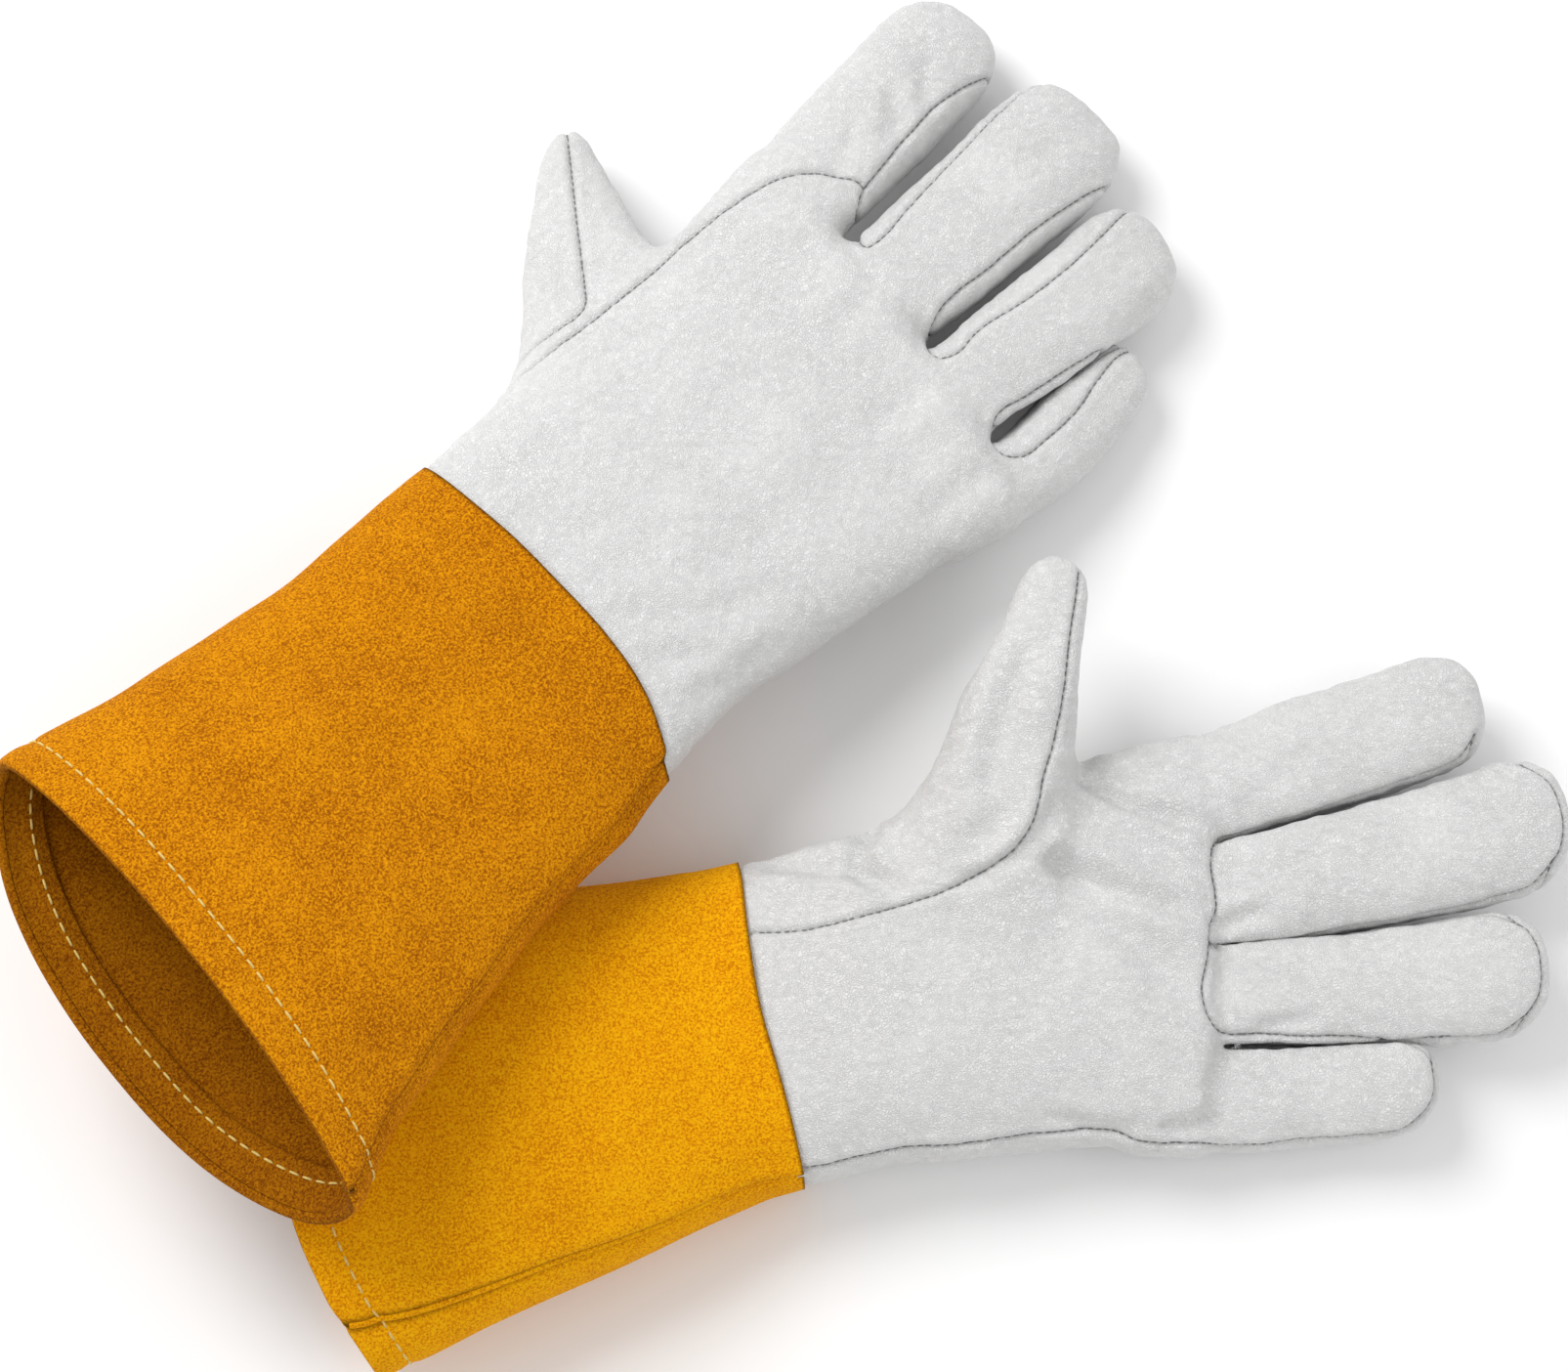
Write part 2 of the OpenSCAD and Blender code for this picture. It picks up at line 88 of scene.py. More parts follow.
LEFT = dict(
    name="left", side=-1, yaw=11, origin=(-6.1, -99.0), crotch=(124.6, 0.2), wrist=(2, 30),
    spread=0.15,
    hand=[(-14, 43, -49, 20.8, 20.8), (0, 43, -46.5, 20.5, 20.5), (10, 43.5, -46, 20.5, 20.5),
          (25, 44.5, -46, 20.5, 20.5), (40, 46, -47.5, 20, 20), (60, 49, -49, 19.5, 19.5),
          (80, 52, -51.5, 19, 19), (95, 53.5, -54.5, 18.4, 18.4), (115, 54, -59, 17.4, 17.3),
          (130, 54.5, -62.5, 16.4, 16.2), (145, 55, -64, 15.4, 15.2)],
    digits=dict(
        index=((110, 38, 17), (210.5, 51.5, 20), (15, 16.8, 16.2), (13, 11.5, 10.5), -1, -2, -4),
        middle=((105, 9.5, 17), (226, 14.5, 22), (14.2, 17.6, 18.2), (13, 12, 11), -1.5, -2, 0),
        ring=((100, -14.5, 17), (210.5, -27, 20), (15.2, 17, 16.8), (13, 11.5, 10.5), -1.5, -2, 0),
        little=((97, -38.8, 16), (175, -51, 17), (16.2, 15.3, 13), (12, 11, 10), -1.5, -2, 0),
        thumb=((59.5, 24, 28), (101.5, 105.5, 44), (21, 16.4, 6.8), (14, 12, 8), 0, 3, 0)))


def unit(v):
    """The vectors at length one."""
    return v / np.maximum(np.linalg.norm(v, axis=-1), 1e-12)[..., None]


def smoothstep(x, a, b):
    t = np.clip((x - a) / (b - a), 0, 1)
    return t * t * (3 - 2 * t)


def curve(x, xs, ys):
    """Smooth curve through stations, flat beyond the first and last."""
    xs, ys = np.asarray(xs, float), np.asarray(ys, float)
    gap = np.diff(xs)
    slope = np.diff(ys) / gap
    m = np.empty_like(ys)
    m[0], m[-1] = slope[0], slope[-1]
    m[1:-1] = (slope[:-1] * gap[1:] + slope[1:] * gap[:-1]) / (gap[:-1] + gap[1:])
    x = np.clip(x, xs[0], xs[-1])
    i = np.clip(np.searchsorted(xs, x) - 1, 0, len(gap) - 1)
    t = (x - xs[i]) / gap[i]
    t2, t3 = t * t, t * t * t
    return ((2 * t3 - 3 * t2 + 1) * ys[i] + (t3 - 2 * t2 + t) * gap[i] * m[i]
            + (3 * t2 - 2 * t3) * ys[i + 1] + (t3 - t2) * gap[i] * m[i + 1])


def through(values, s):
    """Curve through three equally spaced values, s from 0 to 1."""
    a, b, c = values
    return a * (1 - s) * (1 - 2 * s) + 4 * b * s * (1 - s) + c * s * (2 * s - 1)


def join(a, b, k):
    """Smooth union of two distances: the corner between them is rounded over about k."""
    h = np.clip(0.5 + 0.5 * (b - a) / k, 0, 1)
    return b + (a - b) * h - k * h * (1 - h)


def rounded(f, depth):
    """Distance to a squarish oval form from the sum of its powers, for this half depth."""
    return (np.maximum(f, 1e-9) ** (1 / ROUND) - 1) * depth


class Digit:
    """A finger or thumb: a rounded tube from root to tip."""

    def __init__(self, root, tip, half_widths, half_depths, bow, sag, roll):
        self.root, self.tip = np.array(root, float), np.array(tip, float)
        self.length = np.linalg.norm(self.tip - self.root)
        self.along = (self.tip - self.root) / self.length
        level = unit(np.cross((0, 0, 1), self.along))
        up = np.cross(self.along, level)
        r = math.radians(roll)
        self.across = level * math.cos(r) + up * math.sin(r)
        self.up = up * math.cos(r) - level * math.sin(r)
        self.half_widths, self.half_depths, self.bow, self.sag = half_widths, half_depths, bow, sag
        self.cap = max(1.05 * half_widths[2], 9) / self.length

    def frame(self, p):
        """s from root to tip, offsets across and up from the middle line, half width, half depth."""
        q = p - self.root
        s = q @ self.along / self.length
        sc = np.clip(s, 0, 1)
        b = 4 * sc * (1 - sc)
        return (s, q @ self.across - self.bow * b, q @ self.up - self.sag * b,
                through(self.half_widths, sc), through(self.half_depths, sc))

    def distance(self, p):
        s, u, v, a, t = self.frame(p)
        end = np.clip((s - 1 + self.cap) / self.cap, 0, None)
        back = np.clip(-s * self.length / t, 0, None)
        return rounded(np.abs(u / a) ** ROUND + np.abs(v / t) ** ROUND + end ** 2.3 + back ** ROUND, t)


class Glove:
    """One glove's measures, its place, and the field whose zero level is its hand."""

    def __init__(self, name, side, yaw, origin, crotch, wrist, spread, hand, digits):
        self.name, self.side, self.origin, self.crotch = name, side, origin, crotch
        self.wrist, self.spread = wrist, spread
        self.cos, self.sin = math.cos(math.radians(yaw)), math.sin(math.radians(yaw))
        self.hand = np.array(hand, float).T
        self.digits = {k: Digit(*v) for k, v in digits.items()}

    def world(self, p):
        """Row frame in metres of points in the glove's frame in millimetres."""
        p = np.asarray(p, float)
        x = self.origin[0] + p[..., 0] * self.cos - p[..., 1] * self.sin
        y = self.origin[1] + p[..., 0] * self.sin + p[..., 1] * self.cos
        return np.stack([x, y, p[..., 2]], -1) * MM

    def turn(self, v):
        """Directions turned from the glove's frame to the row frame."""
        x = v[..., 0] * self.cos - v[..., 1] * self.sin
        return np.stack([x, v[..., 0] * self.sin + v[..., 1] * self.cos, v[..., 2]], -1)

    def section(self, x):
        """Thumb side edge, little finger side edge, mid height and half depth at x."""
        return [curve(x, self.hand[0], row) for row in self.hand[1:]]

    def crotch_x(self, y):
        return self.crotch[0] + self.crotch[1] * y

    def wrist_x(self, y):
        """x of the cuff's edge."""
        return curve(y, *np.array(SEAMS[self.name]["wrist_seam"], float).T)

    def hand_frame(self, p):
        thumb_side, little_side, mid, t = self.section(p[..., 0])
        return (p[..., 1] - (thumb_side + little_side) / 2, p[..., 2] - mid,
                (thumb_side - little_side) / 2, t)

    def hand_distance(self, p):
        u, v, a, t = self.hand_frame(p)
        end = np.clip((p[..., 0] - self.crotch_x(p[..., 1]) + 10) / 10, 0, None)
        return rounded(np.abs(u / a) ** ROUND + np.abs(v / t) ** ROUND + end ** ROUND, t)

    def finger_distances(self, p, fingers):
        """Distances to fingers that press against their neighbours without touching."""
        raw = {k: self.digits[k].distance(p) for k in FINGERS}
        gap = 0.3 + self.spread * (1 - smoothstep(p[..., 0] - self.crotch_x(p[..., 1]), 2, 26))
        out = {}
        for k in fingers:
            out[k] = raw[k]
            i = FINGERS.index(k)
            for j in FINGERS[max(i - 1, 0):i] + FINGERS[i + 1:i + 2]:
                out[k] = -join(-out[k], (raw[j] - raw[k]) / 2 - gap, 1.5)
        return out

    def field(self, p, fingers=FINGERS, thumb=True):
        """Distance to the surface of the hand with these fingers, negative inside."""
        hand = self.hand_distance(p)
        out = hand
        for d in self.finger_distances(p, fingers).values():
            out = np.minimum(out, join(d, hand, 4.0))
        if thumb:
            out = join(self.digits["thumb"].distance(p), out, 9.0)
        # the lower side rests flat on the ground
        return np.maximum(out, 0.15 - p[..., 2])


def surface_net(distance, low, high, step):
    """Quads on the zero level of a distance inside a box."""
    low = np.floor(np.array(low) / step) * step
    n = np.ceil((np.array(high) - low) / step).astype(int) + 1
    xs, ys, zs = (low[i] + np.arange(n[i]) * step for i in range(3))
    d = np.stack([distance(np.stack(np.meshgrid([x], ys, zs, indexing="ij"), -1)[0]) for x in xs])
    inside = d < 0
    cells = n - 1
    count = sum(inside[i:cells[0] + i, j:cells[1] + j, k:cells[2] + k].astype(int)
                for i in (0, 1) for j in (0, 1) for k in (0, 1))
    active = (count > 0) & (count < 8)
    cell = np.argwhere(active)
    index = -np.ones(cells, int)
    index[active] = np.arange(len(cell))
    # each point is the mean of where its cell's edges cross the surface
    total, hits = np.zeros((len(cell), 3)), np.zeros(len(cell))
    for axis in range(3):
        for i, j in ((0, 0), (0, 1), (1, 0), (1, 1)):
            near, far = np.insert([i, j], axis, 0), np.insert([i, j], axis, 1)
            a, b = d[tuple((cell + near).T)], d[tuple((cell + far).T)]
            cross = (a < 0) != (b < 0)
            offset = np.tile(near.astype(float), (len(cell), 1))
            offset[:, axis] = np.where(cross, a / np.where(cross, a - b, 1), 0)
            total += offset * cross[:, None]
            hits += cross
    points = (cell + total / hits[:, None]) * step + low
    # each grid edge that crosses the surface gives a quad between its four cells
    quads = []
    for axis in range(3):
        o = [a for a in range(3) if a != axis]
        a = np.take(inside, range(n[axis] - 1), axis)
        b = np.take(inside, range(1, n[axis]), axis)
        at = np.argwhere(a != b)
        at = at[((at[:, o] > 0) & (at[:, o] < cells[o])).all(1)]
        outward = a[tuple(at.T)]
        quad = np.stack([index[tuple((at + np.insert(step_back, axis, 0)).T)]
                         for step_back in ((-1, -1), (0, -1), (0, 0), (-1, 0))], 1)
        flip = outward if axis == 1 else ~outward
        quad[flip] = quad[flip][:, ::-1]
        quads.append(quad)
    return points, np.concatenate(quads)


def gradient(distance, p, e=0.15):
    """Direction and rate in which the distance grows."""
    steps = np.eye(3) * e
    return np.stack([(distance(p + s) - distance(p - s)) / (2 * e) for s in steps], -1)


def settle(distance, p):
    """Moves points onto the zero level."""
    for _ in range(2):
        g = gradient(distance, p)
        p = p - g * (distance(p) / np.maximum((g ** 2).sum(-1), 0.05))[:, None]
    return p


def sides(faces):
    """Point pairs of the sides ab, then bc, then ca of the faces."""
    return np.concatenate([faces[:, [0, 1]], faces[:, [1, 2]], faces[:, [2, 0]]])


def triangles(points, quads):
    """The quads, each cut along its shorter diagonal."""
    a = np.linalg.norm(points[quads[:, 0]] - points[quads[:, 2]], axis=1)
    b = np.linalg.norm(points[quads[:, 1]] - points[quads[:, 3]], axis=1)
    short = (a <= b)[:, None]
    one = np.where(short, quads[:, [0, 1, 2]], quads[:, [0, 1, 3]])
    two = np.where(short, quads[:, [0, 2, 3]], quads[:, [1, 2, 3]])
    return np.concatenate([one, two])


def slice_mesh(points, faces, label, f, mask, snap=0.12):
    """Cuts the labelled faces along the zero level of f, given at the points, where mask holds."""
    f = np.where(np.abs(f) < snap, 0, f)
    edges = np.sort(sides(faces), 1)
    key = edges[:, 0] * len(points) + edges[:, 1]
    unique, back = np.unique(key, return_inverse=True)
    i, j = unique // len(points), unique % len(points)
    cut = (f[i] * f[j] < 0) & mask[i] & mask[j]
    new = -np.ones(len(unique), int)
    new[cut] = len(points) + np.arange(cut.sum())
    t = (f[i] / np.where(cut, f[i] - f[j], 1))[cut][:, None]
    points = np.concatenate([points, points[i[cut]] * (1 - t) + points[j[cut]] * t])
    m = new[back].reshape(3, -1).T
    count = (m >= 0).sum(1)
    out, labels = [faces[count == 0]], [label[count == 0]]
    for k in range(3):
        r = [k, (k + 1) % 3, (k + 2) % 3]
        one = (count == 1) & (m[:, k] >= 0)
        a, b, c, p = faces[one][:, r[0]], faces[one][:, r[1]], faces[one][:, r[2]], m[one][:, k]
        out += [np.stack([a, p, c], 1), np.stack([p, b, c], 1)]
        labels += [label[one]] * 2
        two = (count == 2) & (m[:, k] < 0)
        a, b, c = faces[two][:, r[0]], faces[two][:, r[1]], faces[two][:, r[2]]
        p, q = m[two][:, r[1]], m[two][:, r[2]]
        out += [np.stack([a, b, p], 1), np.stack([a, p, q], 1), np.stack([q, p, c], 1)]
        labels += [label[two]] * 3
    three = count == 3
    a, b, c = faces[three].T
    p, q, r = m[three].T
    out += [np.stack(x, 1) for x in ((a, p, r), (p, b, q), (r, q, c), (p, q, r))]
    return points, np.concatenate(out), np.concatenate(labels + [label[three]] * 4)


def compact(points, faces):
    """Only the points that the faces use."""
    used, faces = np.unique(faces, return_inverse=True)
    return points[used], faces.reshape(-1, 3)


# Seam lines drawn on the back or the palm of each hand, as x, y in the glove's frame.
# back_seam: the wrapped palm leather's edge on the back of the hand.
# mound_seam: the thumb's outer piece on the palm.
# front_seam: the palm's edge below the middle and ring fingers.
# wrist_seam: x of the cuff's edge at stations of y.
# gaps: edges of the strips between the fingers as they show on the back.
SEAMS = dict(
    right=dict(
        back_seam=[(-30, 60), (39, 60.5), (85, 60.5), (110, 61.5), (120, 61), (132, 60),
                   (141, 57.5), (147, 53.5), (152, 48), (156, 42), (155, 38.5), (150, 35),
                   (144, 30), (142, 27)],
        mound_seam=[(-30, 26), (0, 26), (27, 24), (43, 25), (54, 26.5), (63, 29), (71, 32),
                    (79, 36.5), (84, 42), (87, 50), (88, 60), (88, 68)],
        front_seam=[(143, 29), (141, 24), (140, 19), (139, 9), (136, 1), (134, -2), (131, -12),
                    (128, -22), (128.5, -27), (131, -32), (134, -34.5)],
        wrist_seam=[(-57, -7), (-53, -3), (-47, 2), (-40, 6), (-32, 8.5), (-20, 10), (0, 10),
                    (15, 9.5), (30, 8), (40, 7), (57, 5)],
        gaps=[[(228, 42), (206, 46.5), (193, 47.5), (175, 45), (163, 42.5), (156, 41), (150, 37),
               (145, 32), (143.5, 29), (144, 26.5), (147, 26), (160, 28.5), (175, 31), (200, 34),
               (213, 34.5), (224, 32)],
              [(228, -4), (210, -1), (190, 0.5), (168, 0.3), (146, -0.8), (140, -3.5), (136.5, -8),
               (137, -11.5), (141, -13.5), (150, -12.5), (172, -14.5), (195, -13.5), (211, -11),
               (220, -9)],
              [(206, -42), (190, -39.5), (165, -36.8), (150, -35.6), (137, -34.8), (133, -37),
               (131.5, -40), (132.5, -44), (136, -47), (145, -47.5), (160, -46), (168, -43.5),
               (182, -41), (192, -43)]]),
    left=dict(
        back_seam=[(-30, 42), (35, 44.5), (76, 49), (99, 50.8), (108, 50.5), (119, 49), (127, 47),
                   (132, 43.5), (137, 39), (139, 34), (138, 31), (134, 28), (130, 25), (128.5, 23)],
        mound_seam=[(-30, 20.5), (-1, 20.5), (10, 19), (25, 19), (40, 20), (50, 21), (58, 23),
                    (66, 25.5), (73, 29), (78, 34), (81, 40), (86, 52), (90, 61), (95, 74)],
        front_seam=[(129, 24.5), (127, 21), (126, 17), (125, 8), (122.5, 1), (121, -1), (118, -10),
                    (115, -20), (115.5, -24), (118, -28), (121, -29.5)],
        wrist_seam=[(-47, 0), (-35, -0.5), (-20, -1.5), (0, -3), (20, -2.5), (41, -1)],
        gaps=[]))

# Levels of the seams on the fingers' side walls, in half depths: + is towards the back
LEVELS, TIP_LEVEL = dict(back=0.62, front=-0.35, edge=-0.45), -0.6
BACK, PALM, MOUND, MIDDLE_FRONT, RING_FRONT, GAP = 0, 1, 2, 3, 4, 5


def round_line(points, step=1.5):
    """Smooth curve through the points, as close points."""
    p = np.array(points, float)
    t = np.concatenate([[0], np.cumsum(np.linalg.norm(np.diff(p, axis=0), axis=1))])
    at = np.linspace(0, t[-1], int(t[-1] / step) + 2)
    return np.stack([curve(at, t, p[:, 0]), curve(at, t, p[:, 1])], -1)


def segments(line, p):
    """Each segment of a line: its ends, and every point's distance to it."""
    for a, b in zip(line[:-1], line[1:]):
        d, q = b - a, p - a
        t = np.clip((q @ d) / max(d @ d, 1e-9), 0, 1)
        yield a, b, np.linalg.norm(q - t[:, None] * d, axis=1)


def side_of_line(line, p):
    """Signed distance in the plane to an open line, positive on its left."""
    best, sign = np.full(len(p), 1e9), np.ones(len(p))
    for a, b, gap in segments(line, p):
        cross = (b[0] - a[0]) * (p[:, 1] - a[1]) - (b[1] - a[1]) * (p[:, 0] - a[0])
        near = gap < best - 1e-9
        best = np.where(near, gap, best)
        sign = np.where(near, np.sign(cross), sign)
    return best * np.where(sign == 0, 1, sign)


def region(line, *corners):
    """Closed outline: the line and then the corners."""
    return np.concatenate([round_line(line), np.array(corners, float).reshape(-1, 2),
                           np.array(line[:1], float)])


def inside_region(outline, p):
    """Signed distance in the plane to a closed outline, positive inside."""
    odd = np.zeros(len(p), bool)
    best = np.full(len(p), 1e9)
    for a, b, gap in segments(outline, p):
        best = np.minimum(best, gap)
        spans = (a[1] > p[:, 1]) != (b[1] > p[:, 1])
        rise = b[1] - a[1] if b[1] != a[1] else 1.0
        odd ^= spans & (p[:, 0] < a[0] + (p[:, 1] - a[1]) * (b[0] - a[0]) / rise)
    return np.where(odd, best, -best)


class Panels:
    """Which leather each point of a hand belongs to, as fields that are zero along the seams."""

    def __init__(self, glove):
        s = SEAMS[glove.name]
        self.glove = glove
        end = s["back_seam"][-1]
        self.wrap = region(s["back_seam"], (end[0] + 30, end[1] - 12), (300, end[1] - 12),
                           (300, 200), (-30, 200))
        self.mound = round_line(s["mound_seam"])
        fronts = s["front_seam"]
        self.fronts = region(fronts, (fronts[-1][0] + 130, fronts[-1][1] - 26),
                             (fronts[0][0] + 130, fronts[0][1] + 26))
        self.gaps = [region(line) for line in s["gaps"]]

    def measure(self, p):
        """Fields and distances at the points."""
        g = self.glove
        side = g.side
        m = dict(x=p[:, 0], y=p[:, 1])
        u, v, a, t = g.hand_frame(p)
        m["hand"] = g.hand_distance(p)
        m["hand_level"], m["hand_u"], m["hand_t"] = side * v, u, t
        gaps, heights = [], {k: [m["hand_level"] - level * t] for k, level in LEVELS.items()}
        for d in (g.digits[k] for k in FINGERS):
            s, u, v, a, t = d.frame(p)
            taper = smoothstep(np.clip((s - 1 + d.cap) / d.cap, 0, None), 0.0, 0.6)
            gaps.append(d.distance(p))
            for k, level in LEVELS.items():
                heights[k].append(side * v - (level + (TIP_LEVEL - level) * taper) * t)
        gaps = np.array(gaps)
        m["finger"], m["on_finger"] = np.argmin(gaps, 0), gaps.min(0) < m["hand"]
        near = np.concatenate([[m["hand"]], gaps])
        w = np.exp(-np.clip(near - near.min(0), 0, 60) / 1.5)
        w /= w.sum(0)
        for k in LEVELS:
            m[k] = (w * np.array(heights[k])).sum(0)
        if self.gaps:
            inside = np.max([inside_region(outline, p[:, :2]) for outline in self.gaps], 0)
            m["back"] = np.minimum(-inside, m["front"])
        m["wrap"] = inside_region(self.wrap, p[:, :2])
        m["fronts"] = inside_region(self.fronts, p[:, :2])
        d = g.digits["thumb"]
        s, u, v, a, t = d.frame(p)
        m["thumb"], m["thumb_s"] = d.distance(p), s
        w = smoothstep(s, 0.32, 0.52)
        m["mound"] = side_of_line(self.mound, p[:, :2]) * (1 - w) + (u + 0.7 * a) * w
        up = m["hand_level"] + 0.15 * m["hand_t"]
        w = smoothstep(s, 0.08, 0.3)
        m["mound_back"] = up * (1 - w) + np.minimum(-u, side * v + 2) * w
        return m

    def masks(self, m):
        """Where each seam's field counts, in the order that the seams are cut."""
        x = m["x"]
        ahead = (x > self.glove.crotch_x(m["y"]) - STRIP_START) & (m["thumb"] > 4)
        hand = ~m["on_finger"]
        thumb_side = (x < 125) & (m["y"] > 0)
        return dict(back=ahead, front=ahead, edge=(m["hand_u"] < 0) & (hand | (m["finger"] == 3)),
                    wrap=(m["hand_level"] > -2) & (hand | (m["finger"] == 0)),
                    fronts=(m["hand_level"] < 2) & (hand | (m["finger"] == 1) | (m["finger"] == 2)),
                    mound=thumb_side, mound_back=thumb_side)

    def leather(self, m):
        """Leather number at each point."""
        x, y, finger, on_finger = m["x"], m["y"], m["finger"], m["on_finger"]
        out = np.full(len(x), PALM)
        out[(m["edge"] > 0) & (m["wrap"] < 0)] = BACK
        fronts = (m["fronts"] > 0) & (m["hand_level"] < 0)
        y_at = np.array([d.root[1] + d.bow + (x - d.root[0]) * d.along[1] / d.along[0]
                         for d in (self.glove.digits[k] for k in FINGERS)])
        out[fronts & (y > (y_at[1] + y_at[2]) / 2)] = MIDDLE_FRONT
        out[fronts & (y <= (y_at[1] + y_at[2]) / 2)] = RING_FRONT
        out[(m["mound_back"] < 0) & (m["mound"] > 0) & (x < 130) & (y > 0)] = MOUND
        for i, front in ((1, MIDDLE_FRONT), (2, RING_FRONT)):
            at = on_finger & (finger == i)
            out[at] = np.where(m["back"][at] > 0, BACK, np.where(m["fronts"][at] < 0, PALM, front))
        at = on_finger & (finger == 0)
        out[at] = np.where((m["wrap"][at] < 0) & (m["hand_level"][at] > 0), BACK, PALM)
        at = on_finger & (finger == 3)
        out[at] = np.where(m["edge"][at] > 0, BACK, PALM)
        # the side walls between the fingers
        wall = (m["back"] < 0) & (m["front"] > 0) & (x > self.glove.crotch_x(y) - STRIP_START)
        if not self.gaps:
            wall &= (y < y_at[0]) & (y > y_at[3])
        out[wall] = GAP + (y[wall] < y_at[1][wall]).astype(int) + (y[wall] < y_at[2][wall])
        return out


def tree_of(samples):
    tree = KDTree(len(samples))
    for i, s in enumerate(samples):
        tree.insert(s, i)
    tree.balance()
    return tree


def nearest(tree, p):
    return np.array([tree.find(q)[2] for q in p]) if len(p) else np.zeros(0)


def neighbours(faces):
    """For each face, the faces across its edges ab, bc and ca, or -1."""
    edges = np.sort(sides(faces), 1)
    owner, place = np.tile(np.arange(len(faces)), 3), np.repeat(np.arange(3), len(faces))
    order = np.lexsort((edges[:, 1], edges[:, 0]))
    e, o, k = edges[order], owner[order], place[order]
    same = np.nonzero((e[1:] == e[:-1]).all(1))[0]
    near = -np.ones((len(faces), 3), int)
    near[o[same], k[same]], near[o[same + 1], k[same + 1]] = o[same + 1], o[same]
    return near


def seam_edges(faces, label):
    """Edges, as point pairs, between faces of different leathers."""
    near = neighbours(faces)
    out = []
    for k in range(3):
        at = (near[:, k] > np.arange(len(faces))) & (label[near[:, k]] != label)
        out.append(np.stack([faces[at, k], faces[at, (k + 1) % 3]], 1))
    return np.concatenate(out)


def settle_labels(faces, label):
    """A face with two neighbours of one other leather takes it."""
    near = neighbours(faces)
    for _ in range(3):
        kind = np.where(near >= 0, label[near], -1)
        for i, j in ((0, 1), (1, 2), (0, 2)):
            agree = (kind[:, i] == kind[:, j]) & (kind[:, i] >= 0)
            label = np.where(agree, kind[:, i], label)
    return label


def vertex_normals(points, faces):
    """Mean direction of the faces at each point, the larger faces counting for more."""
    a, b, c = (points[faces[:, i]] for i in range(3))
    n = np.cross(b - a, c - a)
    out = np.zeros_like(points)
    for i in range(3):
        np.add.at(out, faces[:, i], n)
    return unit(out)


def ripple(p, seed, size):
    """Smooth random value of about -1 to 1 that changes over about this size."""
    rng = np.random.default_rng(seed)
    out = np.zeros(len(p))
    for _ in range(7):
        way = rng.normal(size=3)
        way *= rng.uniform(0.7, 1.6) * 2 * math.pi / size / np.linalg.norm(way)
        out += np.sin(p @ way + rng.uniform(0, 6.28))
    return out / 3.2


def groove(d):
    """Height of the leather at distance d from a seam: it dives in and swells beside it."""
    dive = -0.9 * np.exp(-(d / 0.65) ** 2)
    swell = 0.32 * np.exp(-((d - 2.4) / 1.6) ** 2)
    return dive + swell


def fold(p, line, width, depth):
    """Valley of this width and depth along a line in the plane, fading at its ends."""
    line = round_line(line, 2.0)
    best, at = np.full(len(p), 1e9), np.zeros(len(p))
    for i, q in enumerate(line):
        gap = np.linalg.norm(p[:, :2] - q, axis=1)
        near = gap < best
        best, at = np.where(near, gap, best), np.where(near, i / (len(line) - 1), at)
    fade = smoothstep(at, -0.02, 0.2) * (1 - smoothstep(at, 0.75, 1.02))
    shape = np.exp(-(best / width) ** 2) - 0.45 * np.exp(-((best - 1.7 * width) / width) ** 2)
    return -depth * fade * shape


